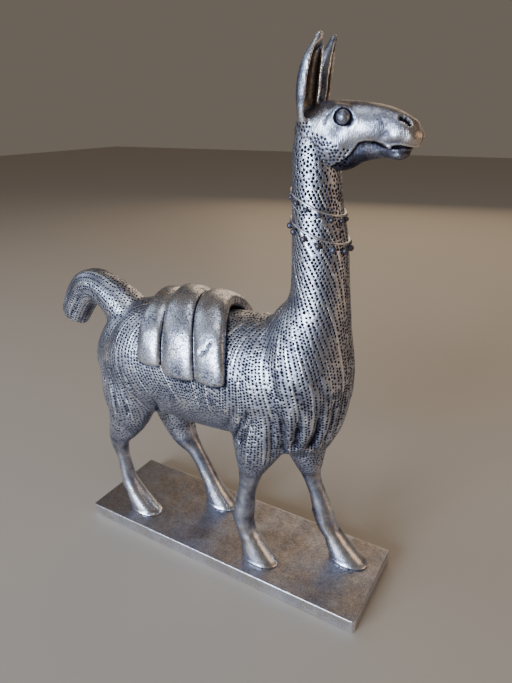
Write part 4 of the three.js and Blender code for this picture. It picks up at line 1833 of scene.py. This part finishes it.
def marks_group():
    """Heights of hammer dents, drawn strokes and fine grain."""
    tree, given, made = new_group("worked_surface", [
        ("Vector", None), ("Dents", 0.5), ("Strokes", 0.3), ("Grain", 0.4),
    ], [("Height", "NodeSocketFloat")])
    where = given.outputs["Vector"]
    drawn = tree.nodes.new("ShaderNodeMapping")
    drawn.inputs["Rotation"].default_value = STROKE_TURN
    drawn.inputs["Scale"].default_value = STROKE_SCALE
    tree.links.new(where, drawn.inputs["Vector"])
    dents = sums(tree, "MULTIPLY", noise_node(tree, where, DENT_SCALE, 1), given.outputs["Dents"])
    strokes = sums(tree, "MULTIPLY", noise_node(tree, drawn.outputs[0], 1.0, 2), given.outputs["Strokes"])
    fine = sums(tree, "MULTIPLY", noise_node(tree, where, GRAIN_SCALE, 3), given.outputs["Grain"])
    tree.links.new(sums(tree, "ADD", sums(tree, "ADD", dents, strokes), fine), made.inputs["Height"])
    return tree


def add_group(tree, group, values, links):
    node = tree.nodes.new("ShaderNodeGroup")
    node.node_tree = group
    for label, value in values.items():
        node.inputs[label].default_value = value
    for label, socket in links.items():
        tree.links.new(socket, node.inputs[label])
    return node


def attribute(tree, name):
    node = tree.nodes.new("ShaderNodeAttribute")
    node.attribute_name = name
    return node.outputs["Fac"]


def silver(name, groups, look):
    """Antique silver over bronze. The look gives the amounts of patina, marks and warmth."""
    material = bpy.data.materials.new(name)
    material.use_nodes = True
    tree = material.node_tree
    shader = tree.nodes["Principled BSDF"]
    shader.inputs["Metallic"].default_value = 1.0
    place = tree.nodes.new("ShaderNodeTexCoord").outputs["Object"]
    links = {"Vector": place, "Relief": attribute(tree, "relief"), "Patina_And_Painted_Light": attribute(tree, "patina_and_painted_light")}
    values = {"Cover": look["cover"], "Patches": look["patches"], "Specks": look["specks"]}
    patina = add_group(tree, groups["patina"], values, links)
    warmth = noise_node(tree, place, WARM_SCALE, 2)
    warmth = ranged(tree, warmth, *look["warm"])
    warmth = sums(tree, "MAXIMUM", warmth, attribute(tree, "warm"))
    colour = add_group(tree, groups["colour"], {}, {"Mask": patina.outputs["Mask"], "Warm": warmth})
    amounts = {"Dents": look["dents"], "Strokes": look["strokes"], "Grain": look["grain"]}
    marks = add_group(tree, groups["marks"], amounts, {"Vector": place})
    bump = tree.nodes.new("ShaderNodeBump")
    bump.inputs["Strength"].default_value = look["bump"]
    bump.inputs["Distance"].default_value = 0.4 * MM
    tree.links.new(marks.outputs["Height"], bump.inputs["Height"])
    tree.links.new(colour.outputs["Color"], shader.inputs["Base Color"])
    tree.links.new(colour.outputs["Roughness"], shader.inputs["Roughness"])
    tree.links.new(bump.outputs["Normal"], shader.inputs["Normal"])
    return material


def make_materials():
    groups = {"patina": patina_group(), "colour": colour_group(), "marks": marks_group()}
    return {name: silver(name, groups, look) for name, look in LOOKS.items()}


# The picture

def make_camera():
    camera = bpy.data.cameras.new("camera")
    camera.lens = 28.74
    camera.sensor_width = 36
    obj = bpy.data.objects.new("camera", camera)
    right = Vector((0.859, 0.512, -0.011)).normalized()
    back = Vector((0.474, -0.789, 0.391)).normalized()
    up = back.cross(right).normalized()
    right = up.cross(back).normalized()
    place = Matrix((right, up, back)).transposed().to_4x4()
    place.translation = Vector((0.19953, -0.29222, 0.32448))
    obj.matrix_world = place
    bpy.context.scene.collection.objects.link(obj)
    bpy.context.scene.camera = obj


def area_light(name, place, target, size, power, colour):
    lamp = bpy.data.lights.new(name, "AREA")
    lamp.size = size
    lamp.energy = power
    lamp.color = colour
    obj = bpy.data.objects.new(name, lamp)
    obj.location = place
    obj.rotation_euler = (Vector(target) - obj.location).to_track_quat("-Z", "Y").to_euler()
    bpy.context.scene.collection.objects.link(obj)


def make_lights():
    world = bpy.data.worlds.new("studio")
    bpy.context.scene.world = world
    world.use_nodes = True
    world.node_tree.nodes["Background"].inputs["Color"].default_value = (*WORLD["colour"], 1)
    world.node_tree.nodes["Background"].inputs["Strength"].default_value = WORLD["strength"]
    for light in LIGHTS:
        area_light(*light)


def make_floor():
    mesh = bpy.data.meshes.new("floor")
    size = 4
    mesh.from_pydata([(-size, -size, 0), (size, -size, 0), (size, size, 0), (-size, size, 0)], [], [(0, 1, 2, 3)])
    floor = bpy.data.objects.new("floor", mesh)
    bpy.context.scene.collection.objects.link(floor)
    material = bpy.data.materials.new("pale_floor")
    material.use_nodes = True
    material.node_tree.nodes["Principled BSDF"].inputs["Base Color"].default_value = (0.52, 0.47, 0.41, 1)
    mesh.materials.append(material)


make_camera()
make_lights()
make_floor()
materials = make_materials()
make_fleece(materials["fleece_silver"])
make_head(materials["head_silver"])
make_legs(materials["leg_silver"])
make_pack(materials["pack_silver"])
make_strings(materials["string_silver"])
make_plinth(materials["plinth_silver"])
